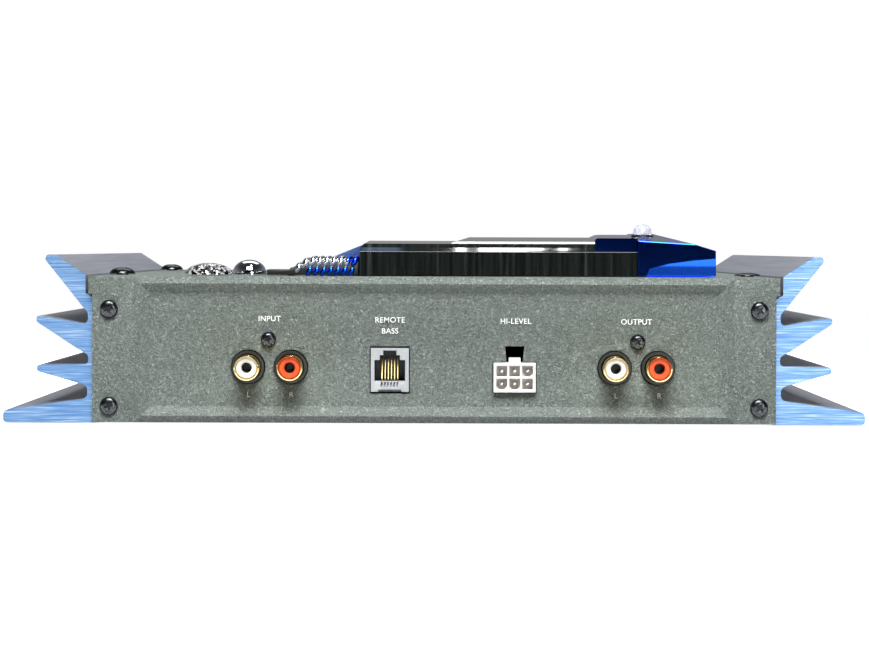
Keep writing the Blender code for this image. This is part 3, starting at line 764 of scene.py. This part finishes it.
class AMPLIFIER_OT_jacks(bpy.types.Operator):
    """Build the four jacks: housing, gold barrel, insulator and centre contact"""

    bl_idname = "amplifier.jacks"
    bl_label = "Jacks"

    def execute(self, context):
        settings = context.scene.amplifier_sockets
        barrel, hole = settings.barrel, settings.pin_hole
        bore, core = 3.55, 3.45
        for group in ("input", "output"):
            refine(group + "_jack_housing", 0.25, "black_nylon")
        ring_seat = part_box("input_jack_housing")[0].y + 1.0 * MM
        for jack in (f"{group}_jack_{side}" for group in ("input", "output") for side in ("left", "right")):
            low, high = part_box(jack + "_shell")
            seat = face_middle(jack + "_shell", axis=1, end=1)
            length = (high.y - low.y) / MM
            shell = lathe(
                [
                    (bore, length - 0.25), (bore + 0.2, length), (barrel - 0.35, length),
                    (barrel, length - 0.4), (barrel, length - 1.5), (barrel - 0.12, length - 1.7),
                    (barrel, length - 1.9), (barrel, 0), (bore, 0),
                ],
                48, True,
            )
            face = length - 0.9
            insulator = lathe(
                [
                    (hole, face - 0.35), (hole + 0.3, face), (core - 0.3, face), (core, face - 0.3),
                    (core, 1), (0, 1), (0, face - 8.5), (hole, face - 8.5),
                ],
                40, True,
            )
            contact = lathe(
                [
                    (1.2, face - 2.6), (1.5, face - 2.3), (1.65, face - 8.0), (0, face - 8.0),
                    (0, face - 7), (1.2, face - 7),
                ],
                24, True,
            )
            ring = lathe(
                [(4.42, 0), (4.42, 0.7), (4.9, 0.7), (5.05, 1.15), (5.3, 1.15), (5.4, 1.0), (5.4, 0)],
                48, True,
            )
            for piece in (shell, insulator, contact):
                shade(piece)
                place(piece, seat, FACING_FRONT)
            shade(ring)
            place(ring, Vector((seat.x, ring_seat, seat.z)), FACING_FRONT)
            colour = "white_nylon" if jack.endswith("left") else "red_nylon"
            stand_in(shell, jack + "_shell", "gold_plate")
            stand_in(insulator, jack + "_insulator", colour)
            # The centre contact takes the black finish as painted shade deep in the pin hole.
            hand_over(contact, jack + "_contact", "black_epoxy_and_painted_shade")
            hand_over(ring, jack + "_collar", "black_nylon")
        return {"FINISHED"}


class AMPLIFIER_OT_bass_socket(bpy.types.Operator):
    """Build the modular socket for the wired bass remote"""

    bl_idname = "amplifier.bass_socket"
    bl_label = "Bass Socket"

    pitch: FloatProperty(
        name="Contact Pitch", description="Distance between contacts, in millimetres",
        default=1.02, min=0.5, max=2.0,
    )
    ways: IntProperty(name="Contacts", description="Number of contacts", default=6, min=2, max=8)

    def execute(self, context):
        low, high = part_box("bass_socket_shell")
        x, face = (low.x + high.x) / 2 / MM, low.y / MM
        floor = low.z / MM
        columns = [x + (index - (self.ways - 1) / 2) * self.pitch for index in range(self.ways)]
        shell = refined("bass_socket_shell", 0.0)
        arch = box((x - 4.4, face - 1, floor - 1), (x + 4.4, face + 2, floor + 0.75))
        reshape(arch, lambda spot, normal: normal.z > 0.9, bpy.ops.transform.resize, value=(0.8, 1, 1))
        carve(shell, arch)
        ledge = box((x - 4.9, face - 1, floor + 2.9), (x + 4.9, face + 0.5, floor + 3.7))
        carve(shell, ledge)
        for column in columns:
            slot = box((column - 0.3, face - 1, floor + 1.5), (column + 0.3, face + 1.6, floor + 3.2))
            reshape(
                slot, lambda spot, normal: normal.z < -0.9, bpy.ops.transform.translate,
                value=(-0.25 * MM, 0, 0),
            )
            carve(shell, slot)
        round_edges(shell, 0.16, 2)
        # The cut 4.5 mm into the cavity marks where its painted shade begins.
        edit_mode(shell)
        bpy.ops.mesh.select_all(action="SELECT")
        bpy.ops.mesh.bisect(plane_co=(0, (face + 4.5) * MM, 0), plane_no=(0, 1, 0))
        object_mode()
        shade(shell)
        painted_shade_from, top = face + 4.5, high.z / MM - 0.3
        # Cavity faces beyond that cut take the black finish as painted shade behind the contacts.
        paint_faces(
            shell, ("grey_nylon", "black_nylon"),
            lambda spot, normal: int(
                spot.y > painted_shade_from and abs(spot.x - x) < 5.1 and floor + 1.5 < spot.z < top
            ),
        )
        stand_in(shell, "bass_socket_shell", "")

        low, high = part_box("bass_socket_contacts")
        tip, foot = low.y / MM, low.z / MM
        half, rise, run = 0.16, 6.2 * MM, 2.2 * MM
        back = high - Vector((0, low.y + 3.0 * MM, low.z + 7.0 * MM))
        wires = []
        for column in columns:
            wire = box((column - half, tip, foot), (column + half, tip + 0.4, foot + 0.4))
            edit_mode(wire)
            pick(wire, lambda spot, normal: normal.y > 0.9)
            for move in ((0, run, rise), (0, back.y, back.z)):
                bpy.ops.mesh.extrude_region_move(TRANSFORM_OT_translate={"value": move})
            object_mode()
            round_edges(wire, 0.1, 2)
            wires.append(wire)
        contacts = join(wires)
        shade(contacts)
        stand_in(contacts, "bass_socket_contacts", "worn_gold")
        return {"FINISHED"}


class AMPLIFIER_OT_hi_level_header(bpy.types.Operator):
    """Finish the six-way header and its pins"""

    bl_idname = "amplifier.hi_level_header"
    bl_label = "Hi-Level Header"

    cell: FloatProperty(
        name="Cell Width", description="Width of a cell, in millimetres", default=3.4, min=2, max=4
    )
    pitch: FloatProperty(
        name="Pitch", description="Distance between cells, in millimetres", default=4.2, min=3, max=5
    )
    height: FloatProperty(
        name="Height", description="Height of the body, in millimetres", default=9.7, min=8, max=12
    )
    depth: FloatProperty(
        name="Depth", description="Depth of the cells, in millimetres", default=5.5, min=3, max=12
    )

    def slice(self, point, normal):
        """Cut new edges where a plane crosses the piece in edit mode."""
        bpy.ops.mesh.select_all(action="SELECT")
        bpy.ops.mesh.bisect(plane_co=point, plane_no=normal)

    def fillet(self, x, z, face, way):
        """A three-cornered strip along a cell's lower corner, at its left (way -1) or its right (way 1)."""
        strip = box((min(x, x - way), face, z), (max(x, x - way), face + self.depth, z + 1))
        edit_mode(strip)
        bpy.ops.mesh.select_all(action="SELECT")
        bpy.ops.mesh.bisect(
            plane_co=((x - way) * MM, 0, z * MM), plane_no=(-way, 0, 1), clear_outer=True, use_fill=True,
        )
        object_mode()
        return strip

    def execute(self, context):
        low, high = (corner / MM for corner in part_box("hi_level_header"))
        x, z, half = (low.x + high.x) / 2, low.z + self.height / 2, self.cell / 2
        shroud = box((low.x, low.y, low.z), (high.x, high.y, low.z + self.height))
        edit_mode(shroud)
        for column in (-self.pitch, 0, self.pitch):
            for edge in (column - half, column + half):
                self.slice(((x + edge) * MM, 0, 0), (1, 0, 0))
        for row in (-self.pitch / 2, self.pitch / 2):
            for edge in (row - half, row + half):
                self.slice((0, 0, (z + edge) * MM), (0, 0, 1))
        cells = [
            (x + column * self.pitch, z + row * self.pitch / 2) for column in (-1, 0, 1) for row in (-1, 1)
        ]
        pick(
            shroud,
            lambda spot, normal: normal.y < -0.9
            and any(abs(spot.x - across) < half and abs(spot.z - up) < half for across, up in cells),
        )
        bpy.ops.mesh.extrude_region_move(TRANSFORM_OT_translate={"value": (0, self.depth * MM, 0)})
        object_mode()
        latch = box((x - 1.9, low.y + 0.8, low.z + self.height - 0.3), (x + 1.9, high.y - 2, high.z))
        carve(shroud, latch, "UNION")
        clean(shroud)
        round_edges(shroud, 0.14)
        fillets = [
            self.fillet(across + way * half, up - half, low.y + 0.1, way)
            for across, up in (cells[0], cells[2], cells[5]) for way in (-1, 1)
        ]
        shroud = join([shroud] + fillets)
        shade(shroud)
        stand_in(shroud, "hi_level_header", "white_nylon")
        refine("hi_level_pins", 0.15, "nickel_plate")
        return {"FINISHED"}


# ------------------------------------------------------------------ legends

def legend(name, words, spot, turn, height):
    """Flat printed capitals, centred on a place in millimetres, raised 0.05 mm off the paint."""
    deselect()
    bpy.ops.object.text_add()
    text = bpy.context.object
    text.data.body = words
    text.data.size = height / 0.7 * MM
    text.data.align_x = "CENTER"
    text.data.align_y = "CENTER"
    text.data.offset = 0.02 * MM
    text.data.space_character = 1.05
    text.data.extrude = 0.03 * MM
    activate(text)
    bpy.ops.object.convert(target="MESH")
    text = bpy.context.object
    place(text, Vector(spot) * MM, turn)
    clean(text)
    hand_over(text, name, "screen_print_ink")


class AMPLIFIER_OT_legends(bpy.types.Operator):
    """Print the plain function words on both end panels"""

    bl_idname = "amplifier.legends"
    bl_label = "Legends"

    def execute(self, context):
        height = context.scene.amplifier_sockets.legend
        sunk, proud = 2.2, 0.06
        front, rear = FRONT_FACE / MM + sunk - proud, REAR_FACE / MM - sunk + proud
        jacks = {
            f"{group}_jack_{side}": middle(f"{group}_jack_{side}_shell").x / MM
            for group in ("input", "output") for side in ("left", "right")
        }
        bass = middle("bass_socket_shell").x / MM
        words = {
            "legend_input": ("INPUT", (jacks["input_jack_left"] + jacks["input_jack_right"]) / 2, 34.2),
            "legend_output": ("OUTPUT", (jacks["output_jack_left"] + jacks["output_jack_right"]) / 2, 33.5),
            "legend_remote": ("REMOTE", bass, 33.9),
            "legend_bass": ("BASS", bass, 30.3),
            "legend_hi_level": ("HI-LEVEL", middle("hi_level_header").x / MM + 0.3, 33.6),
        }
        for jack, x in jacks.items():
            aside = 0.2 if "input" in jack else 0.5
            words["legend_" + jack] = ("L" if jack.endswith("left") else "R", x + aside, 9.4)
        for name, (text, x, z) in words.items():
            legend(name, text, (x, front, z), FACING_FRONT, height)

        turn = Matrix.Rotation(pi, 4, "Z") @ FACING_FRONT
        for name, text, node, aside, z in (
            ("legend_power", "POWER", "power_terminal_block", 0, 35.4),
            ("legend_speaker", "SPEAKER", "speaker_terminal_block", 0, 35.4),
            ("legend_fuse", "FUSE", "fuse_holder", 0, 35.4),
            ("legend_gain", "GAIN", "gain_knob", 0, 35.4),
            ("legend_low_pass", "LPF", "low_pass_knob", 0, 35.4),
            ("legend_bass_boost", "BASS", "bass_knob", 0, 35.4),
            ("legend_off_on", "ON   OFF", "crossover_switch", 2.5, 18.2),
        ):
            legend(name, text, (middle(node).x / MM + aside, rear, z), turn, height)
        return {"FINISHED"}


# ------------------------------------------------------------------ trim on the cover

class AMPLIFIER_OT_trim(bpy.types.Operator):
    """Build the gloss bar and the blue end cap"""

    bl_idname = "amplifier.trim"
    bl_label = "Trim"

    lean: FloatProperty(
        name="Lean", description="How far the swept part of the cap's front turns down, in degrees",
        default=4.0, min=0.0, max=10.0,
    )

    # Points (x, z), in millimetres, of the curved line over that part
    SWEEP = ((70.6, 48.3), (71.7, 50.7), (78.0, 52.4), (86.0, 53.5), (94.0, 54.2))

    def execute(self, context):
        bar = refined("trim_bar", 0.2, 2, 8)
        shade(bar, 5)
        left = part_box("bead_pad")[1].x / MM
        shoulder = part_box("trim_end_cap")[0].x / MM - 14

        def choose(spot, normal):
            """The left wing is satin blue, and the strip beside it and the shoulder are mirror blue."""
            if spot.x < left - 0.2:
                return 2
            beside_wing = spot.x < left + 2 and normal.y > -0.9
            return int(beside_wing or spot.x > shoulder and abs(normal.y) < 0.9 and normal.z > 0.1)

        paint_faces(bar, ("smoked_acrylic", "blue_mirror_plating", "satin_blue_lacquer"), choose)
        stand_in(bar, "trim_bar", "")

        cap = refined("trim_end_cap", 0.22, 2, 12)
        edit_mode(cap)
        for (x, z), (next_x, next_z) in zip(self.SWEEP, self.SWEEP[1:]):
            bpy.ops.mesh.select_all(action="SELECT")
            across = Vector((z - next_z, 0, next_x - x)).normalized()
            bpy.ops.mesh.bisect(plane_co=(x * MM, 0, z * MM), plane_no=across)
        pick(cap, lambda spot, normal: normal.y < -0.9 and self.below_sweep(spot))
        bpy.ops.mesh.extrude_region_move(TRANSFORM_OT_translate={"value": (0, 0.02 * MM, 0)})
        hinge = (self.SWEEP[0][0] * MM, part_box("trim_end_cap")[0].y, self.SWEEP[-1][1] * MM)
        bpy.ops.transform.rotate(value=-radians(self.lean), orient_axis="X", center_override=hinge)
        object_mode()
        shade(cap, 2)
        stand_in(cap, "trim_end_cap", "blue_mirror_plating")
        return {"FINISHED"}

    def below_sweep(self, spot):
        """Whether a place on the cap's front lies under the curved line across it."""
        return all(
            (spot.z - z) * (next_x - x) < (spot.x - x) * (next_z - z)
            for (x, z), (next_x, next_z) in zip(self.SWEEP, self.SWEEP[1:])
        )


class AMPLIFIER_OT_bead_pad(bpy.types.Operator):
    """Build the beaded pad: a black base under rows of slanted oval beads"""

    bl_idname = "amplifier.bead_pad"
    bl_label = "Bead Pad"

    def execute(self, context):
        pitch = context.scene.amplifier_trim.bead
        low, high = (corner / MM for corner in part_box("bead_pad"))
        base = refined("bead_pad", 0.3, 2)
        reshape(
            base, lambda spot, normal: spot.z > low.z + 1, bpy.ops.transform.resize,
            value=(1, 1, 0.8), center_override=(0, 0, low.z * MM),
        )
        hand_over(base, "bead_pad_base", "black_epoxy_and_painted_shade", nodes=["bead_pad"])
        bead = primitive(bpy.ops.mesh.primitive_uv_sphere_add, segments=12, ring_count=8, radius=1.0 * MM)
        bead.scale = (1.05, 1.2, 1.9)
        bead.rotation_euler = (0, radians(28), 0)
        settle(bead)
        shade(bead, 60)
        beads = []
        columns = int((high.x - low.x - 7) / pitch)
        rows = int((high.y - low.y) / pitch)
        for column in range(columns):
            x = high.x - pitch * (column + 0.6)
            top = high.z - max(0.0, high.x - 17 - x) * 0.66
            places = [(x - 1.0, low.y + 0.4, top - 4.7), (x, low.y + 0.5, top - 1.6)]
            places += [
                (x + 0.35 * (row % 2), low.y + pitch * (row + 0.8), top - 1.3) for row in range(rows)
            ]
            for spot in places:
                if spot[2] > low.z + 1:
                    twin = copied(bead, "bead")
                    twin.data.transform(Matrix.Translation(Vector(spot) * MM))
                    beads.append(twin)
        bpy.data.objects.remove(bead)
        beads = join(beads)
        paint_faces(
            beads, ("chrome_plating", "blue_mirror_plating"),
            lambda spot, normal: int(
                spot.x > low.x + 13 and spot.z < high.z - 3.2 or spot.x > low.x + 27
            ),
        )
        hand_over(beads, "bead_pad_beads", "")
        return {"FINISHED"}


class AMPLIFIER_OT_domes(bpy.types.Operator):
    """Build the chrome dome, the mesh dome and the faceted indicator lens"""

    bl_idname = "amplifier.domes"
    bl_label = "Domes and Lens"

    def set_dome(self, node, profile, finish_name):
        dome = lathe(profile, 48)
        shade(dome, 40)
        stand_in(place(dome, face_middle(node, axis=2, end=0)), node, finish_name)

    def execute(self, context):
        radius, rise = half_width_and_height("chrome_dome")
        rim = [(radius - 0.3, 0.45), (radius, 0.3), (radius, 0), (0, 0)]
        self.set_dome("chrome_dome", arc(radius - 0.5, rise - 0.6, 0.6, 10) + rim, "chrome_plating")
        radius, rise = half_width_and_height("mesh_dome")
        self.set_dome("mesh_dome", arc(radius, rise) + [(0, 0)], "mosaic_with_painted_flash")

        low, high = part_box("indicator_lens")
        spot = (low + high) / 2
        radius, _ = half_width_and_height("indicator_lens")
        lens = primitive(bpy.ops.mesh.primitive_ico_sphere_add, subdivisions=2, radius=radius * MM)
        place(lens, Vector((spot.x, spot.y, high.z - radius * MM)))
        stand_in(lens, "indicator_lens", "clear_acrylic")
        bezel = lathe([(3.1, 0), (3.1, 0.5), (3.5, 0.8), (3.8, 0.5), (3.8, 0)], 32, True)
        shade(bezel)
        bezel = place(bezel, Vector((spot.x, spot.y, low.z - 0.2 * MM)))
        hand_over(bezel, "lens_bezel", "black_oxide_steel")
        return {"FINISHED"}


# ------------------------------------------------------------------ rear panel pieces

class AMPLIFIER_OT_terminals(bpy.types.Operator):
    """Finish the terminal blocks, their metal liners and their clamp screws"""

    bl_idname = "amplifier.terminals"
    bl_label = "Terminals"

    def execute(self, context):
        clamp = lathe([(0, 8.2), (2.55, 8.2), (2.9, 7.8), (2.9, 0.5), (2.4, 0), (0, 0)], 40)
        carve(clamp, rod(1.6, 5, (0, 0, 8), 6))
        round_edges(clamp, 0.12)
        shade(clamp)
        for kind, count in (("power", 3), ("speaker", 2)):
            node = kind + "_terminal_block"
            refine(node, 0.45, "black_nylon", 3)
            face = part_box(node)[1].y / MM
            for index in range(1, count + 1):
                screw_node = f"{kind}_clamp_screw_{index}"
                seat = face_middle(screw_node, axis=2, end=0)
                screw = place(copied(clamp, "clamp"), seat)
                stand_in(screw, screw_node, "nickel_plate", screw_node)
                liner = self.liner(seat.x / MM, face)
                hand_over(liner, f"{kind}_liner_{index}", "gold_plate")
        bpy.data.objects.remove(clamp)
        return {"FINISHED"}

    def liner(self, x, face):
        """A square gold-plated sleeve just inside a wire entry, open under its clamp screw."""
        outer, wall, z = 4.55, 0.5, 16.2
        sleeve = box((x - outer, face - 16.5, z - outer), (x + outer, face - 0.6, z + outer))
        inner = outer - wall
        carve(sleeve, box((x - inner, face - 15.5, z - inner), (x + inner, face + 1, z + inner)))
        carve(sleeve, rod(3.1, 4, (x, face - 5.5, z + outer), 24))
        round_edges(sleeve, 0.12)
        shade(sleeve)
        return sleeve


class AMPLIFIER_OT_fuses(bpy.types.Operator):
    """Finish the fuse holder and the two blade fuses"""

    bl_idname = "amplifier.fuses"
    bl_label = "Fuses"

    def execute(self, context):
        refine("fuse_holder", 0.35, "black_nylon")
        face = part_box("fuse_holder")[1].y / MM
        for index in (1, 2):
            node = f"blade_fuse_{index}"
            fuse = refined(node, 0.35, 2)
            low, high = (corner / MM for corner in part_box(node))
            x, z = (low.x + high.x) / 2, (low.z + high.z) / 2
            carve(fuse, box((x - 4, high.y - 0.6, z - 1.2), (x + 4, high.y + 1, z + 1.2)))
            shade(fuse)
            blade = ("tinted_polycarbonate", "zinc_steel")
            paint_faces(fuse, blade, lambda spot, normal: int(spot.y < face + 0.2))
            stand_in(fuse, node, "", node)
        return {"FINISHED"}


class AMPLIFIER_OT_controls(bpy.types.Operator):
    """Build the fluted knobs and the slide switch"""

    bl_idname = "amplifier.controls"
    bl_label = "Controls"

    flutes: IntProperty(name="Flutes", description="Grip flutes round a knob", default=18, min=6, max=40)

    def execute(self, context):
        knob = lathe([(0, 8.2), (3.9, 8.2), (4.35, 7.75), (4.35, 0), (0, 0)], 72)
        for index in range(self.flutes):
            angle = tau * index / self.flutes
            carve(knob, rod(0.35, 7, (4.5 * cos(angle), 4.5 * sin(angle), 6.2), 10))
        carve(knob, box((-0.45, 0.8, 7.7), (0.45, 5, 9)))
        round_edges(knob, 0.1, 1)
        shade(knob)
        pointer = box((-0.35, 1.0, 7.75), (0.35, 3.9, 8.0))
        turn = Matrix.Rotation(pi, 4, "Z") @ FACING_FRONT
        for node in ("gain_knob", "low_pass_knob", "bass_knob"):
            seat = face_middle(node, axis=1, end=0)
            stand_in(place(copied(knob, "knob"), seat, turn), node, "black_epoxy_and_painted_shade", node)
            line = place(copied(pointer, "line"), seat, turn)
            hand_over(line, node + "_pointer", "screen_print_ink", node)
        bpy.data.objects.remove(knob)
        bpy.data.objects.remove(pointer)
        refine("crossover_switch", 0.25, "black_nylon", body="crossover_switch")
        refine("control_pots", 0.4, "black_nylon")
        return {"FINISHED"}


# ------------------------------------------------------------------ insides

class AMPLIFIER_OT_insides(bpy.types.Operator):
    """Finish the boards, the transformer, the capacitors and the transistors"""

    bl_idname = "amplifier.insides"
    bl_label = "Insides"

    transistors: IntProperty(
        name="Transistors", description="Transistors under each clamp bar", default=8, min=1, max=16
    )

    def execute(self, context):
        for node in ("control_board", "main_board"):
            refine(node, 0.1, "solder_mask")
        ring = refined("toroid_transformer", 0.5, 3, 25)
        hand_over(
            ring, "toroid_finished", "enamelled_copper", nodes=["toroid_transformer"]
        )
        can = lathe(
            [
                (0, 29.4), (6.8, 29.4), (7.2, 30), (8.3, 30), (9, 29.3), (9, 27.2), (8.6, 26.7), (9, 26.2),
                (9, 0), (0, 0),
            ],
            48,
        )
        carve(can, box((-6, -0.3, 29.1), (6, 0.3, 31)))
        carve(can, box((-0.3, -6, 29.1), (0.3, 6, 31)))
        shade(can)
        for index in range(1, 5):
            node = f"capacitor_{index}"
            piece = place(copied(can, "can"), face_middle(node, axis=2, end=0))
            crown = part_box(node)[1].z / MM - 0.9
            paint_faces(
                piece, ("shrink_sleeve", "zinc_steel"),
                lambda spot, normal: int(spot.z > crown and normal.z > 0.5),
            )
            stand_in(piece, node, "")
        bpy.data.objects.remove(can)
        body = box((-1.4, -5, 0), (1.4, 5, 15))
        round_edges(body, 0.3)
        shade(body)
        for side, way in (("left", 1), ("right", -1)):
            node = "transistor_clamp_" + side
            refine(node, 0.4, "zinc_steel")
            low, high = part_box(node)
            outer = low.x - 2.0 * MM if way > 0 else high.x + 2.0 * MM
            for index in range(self.transistors):
                y = low.y + (high.y - low.y) * (index + 0.5) / self.transistors
                seat = Vector((outer, y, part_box("main_board")[1].z + 3 * MM))
                device = place(copied(body, "device"), seat)
                hand_over(device, f"transistor_{side}_{index + 1}", "black_epoxy_and_painted_shade")
        bpy.data.objects.remove(body)
        floor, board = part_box("bottom_plate")[1].z / MM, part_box("main_board")[0].z / MM
        corners = [(x, y) for y in (-110, 20, 140) for x in (-90, 90)]
        for index, (x, y) in enumerate(corners):
            post = rod(3, board - floor, (x, y, (board + floor) / 2), 6)
            round_edges(post, 0.3)
            hand_over(post, f"standoff_{index + 1}", "zinc_steel")
        return {"FINISHED"}


# ------------------------------------------------------------------ stage

def softbox(name, spot, target, size, power, colour="#FFFFFF"):
    """A rectangular studio light of so many metres, aimed at a place."""
    deselect()
    bpy.ops.object.light_add(type="AREA", location=spot)
    light = bpy.context.object
    light.name = name
    light.data.shape = "RECTANGLE"
    light.data.size, light.data.size_y = size
    light.data.energy = power
    light.data.color = linear(colour)[:3]
    light.rotation_euler = (Vector(target) - Vector(spot)).to_track_quat("-Z", "Y").to_euler()
    return light


class AMPLIFIER_OT_stage(bpy.types.Operator):
    """Set up the pale floor, the soft studio light and the camera"""

    bl_idname = "amplifier.stage"
    bl_label = "Stage"

    def world(self, context):
        """White to the camera; to all else a grey room, palest below and darkest above and in front."""
        world = bpy.data.worlds.new("studio")
        context.scene.world = world
        world.use_nodes = True
        tree = world.node_tree
        tree.nodes.clear()
        places = add_node(tree, "ShaderNodeTexCoord").outputs["Generated"]
        axes = add_node(tree, "ShaderNodeSeparateXYZ", inputs={"Vector": places}).outputs
        share = add_node(
            tree, "ShaderNodeMapRange", inputs={"Value": axes["Z"], "From Min": -1.0}
        ).outputs["Result"]
        fill = ramp(tree, share, [(0.42, "#808080"), (0.5, "#747474"), (0.62, "#646466"), (0.85, "#3C3E42")])
        room = add_node(tree, "ShaderNodeBackground", inputs={"Color": fill}).outputs["Background"]
        grey = ramp(tree, share, [(0.46, "#B8B8B8"), (0.5, "#9A9A9A"), (0.62, "#8A8A8C"), (0.85, "#46484C")])
        front = add_node(
            tree, "ShaderNodeMapRange",
            inputs={"Value": axes["Y"], "From Min": -0.5, "From Max": 0.6, "To Min": 0.4},
        ).outputs["Result"]
        mirrored = add_node(
            tree, "ShaderNodeBackground", inputs={"Color": grey, "Strength": front}
        ).outputs["Background"]
        white = add_node(
            tree, "ShaderNodeBackground", inputs={"Color": linear("#FFFFFF")}
        ).outputs["Background"]
        rays = add_node(tree, "ShaderNodeLightPath").outputs
        mix = room
        for ray, shown in (("Is Glossy Ray", mirrored), ("Is Camera Ray", white)):
            mix = add_node(
                tree, "ShaderNodeMixShader", inputs={0: rays[ray], 1: mix, 2: shown}
            ).outputs["Shader"]
        add_node(tree, "ShaderNodeOutputWorld", inputs={"Surface": mix})

    def execute(self, context):
        settings = context.scene.amplifier_stage
        floor = primitive(bpy.ops.mesh.primitive_plane_add, size=1.0, location=(0, -0.5, -0.0004))
        floor.scale = (3.4, 2.2, 1)
        settle(floor)
        floor.name = "studio_floor"
        floor.visible_diffuse = False
        floor.data.materials.append(look("studio_paper"))

        flag = primitive(bpy.ops.mesh.primitive_plane_add, size=1.0)
        flag.scale = (2.6, 0.85, 1)
        flag.rotation_euler = (pi / 2, 0, 0)
        flag.location = (0, -1.9, 0.4)
        flag.name = "black_flag"
        flag.data.materials.append(look("flag_cloth"))
        flag.visible_camera = False
        flag.visible_diffuse = False
        flag.visible_shadow = False

        softbox("key_softbox", (0.0, -1.25, 1.4), (0, -0.12, 0.02), (1.0, 0.9), 64)
        softbox("back_softbox", (0.0, 1.0, 1.5), (0, 0.1, 0.05), (1.4, 0.8), 8)
        fills = [softbox("front_fill", (0.0, -1.7, 0.3), (0, -0.15, 0.03), (1.6, 0.4), 0.5)]
        for side in (-1, 1):
            spot, target = (side * 0.95, 0.75, 0.5), (side * 0.12, 0.0, 0.02)
            fills.append(softbox("left_fill" if side < 0 else "right_fill", spot, target, (0.9, 0.35), 8))
        for fill in fills:
            fill.visible_glossy = False
        card = softbox("right_card", (0.5, -1.55, 0.25), (0.12, -0.15, 0.03), (0.4, 0.4), 5)
        card.visible_diffuse = False
        # Narrow lights above the panel's top edge, which show as glints on the bar's chamfer
        for name, low, high, power, colour in (
            ("strip_left", -0.040, -0.020, 0.010, "#9DB8E8"),
            ("strip_short", 0.009, 0.0142, 0.03, "#FFFFFF"),
            ("strip_long", 0.0209, 0.0546, 0.2, "#FFFFFF"),
            ("strip_right", 0.0624, 0.067, 0.03, "#FFFFFF"),
        ):
            middle_x = (low + high) / 2
            size = (high - low, 0.06)
            softbox(name, (middle_x, -0.173, 0.66), (middle_x, -0.173, 0), size, power, colour)

        self.world(context)
        deselect()
        bpy.ops.object.camera_add(location=(0.0038, -0.153 - settings.distance, settings.height))
        camera = context.object
        camera.name = "main_camera"
        camera.data.lens = settings.lens
        camera.data.sensor_width = 36.0
        turn = Matrix.Rotation(radians(0.199), 4, "Z") @ Matrix.Rotation(radians(90 - 1.396), 4, "X")
        camera.rotation_euler = (turn @ Matrix.Rotation(radians(0.19), 4, "Z")).to_euler()
        context.scene.camera = camera
        context.scene.view_settings.view_transform = "Standard"
        context.scene.view_settings.look = "None"
        return {"FINISHED"}


# ------------------------------------------------------------------ sidebar and registration

BUILD_STEPS = (
    AMPLIFIER_OT_casing, AMPLIFIER_OT_screws, AMPLIFIER_OT_underside, AMPLIFIER_OT_jacks,
    AMPLIFIER_OT_bass_socket, AMPLIFIER_OT_hi_level_header, AMPLIFIER_OT_legends, AMPLIFIER_OT_trim,
    AMPLIFIER_OT_bead_pad, AMPLIFIER_OT_domes, AMPLIFIER_OT_terminals, AMPLIFIER_OT_fuses,
    AMPLIFIER_OT_controls, AMPLIFIER_OT_insides, AMPLIFIER_OT_stage,
)
SETTINGS = {
    "amplifier_casing": CasingSettings, "amplifier_sockets": SocketSettings,
    "amplifier_trim": TrimSettings, "amplifier_stage": StageSettings,
}


class AMPLIFIER_PT_sidebar(bpy.types.Panel):
    """Lists the settings and the build steps"""

    bl_idname = "AMPLIFIER_PT_sidebar"
    bl_label = "Car Amplifier"
    bl_space_type = "VIEW_3D"
    bl_region_type = "UI"
    bl_category = "Amplifier"

    def draw(self, context):
        for name in SETTINGS:
            group = getattr(context.scene, name)
            column = self.layout.column(align=True)
            for setting in group.__annotations__:
                column.prop(group, setting)
        column = self.layout.column(align=True)
        for step in BUILD_STEPS:
            column.operator(step.bl_idname)


CLASSES = (*SETTINGS.values(), *BUILD_STEPS, AMPLIFIER_PT_sidebar)


def register():
    for made in CLASSES:
        bpy.utils.register_class(made)
    for name, kind in SETTINGS.items():
        setattr(bpy.types.Scene, name, PointerProperty(type=kind))


def unregister():
    for name in SETTINGS:
        delattr(bpy.types.Scene, name)
    for made in reversed(CLASSES):
        bpy.utils.unregister_class(made)


def main():
    register()
    for step in BUILD_STEPS:
        group, operator = step.bl_idname.split(".")
        getattr(getattr(bpy.ops, group), operator)()


if __name__ == "__main__":
    main()
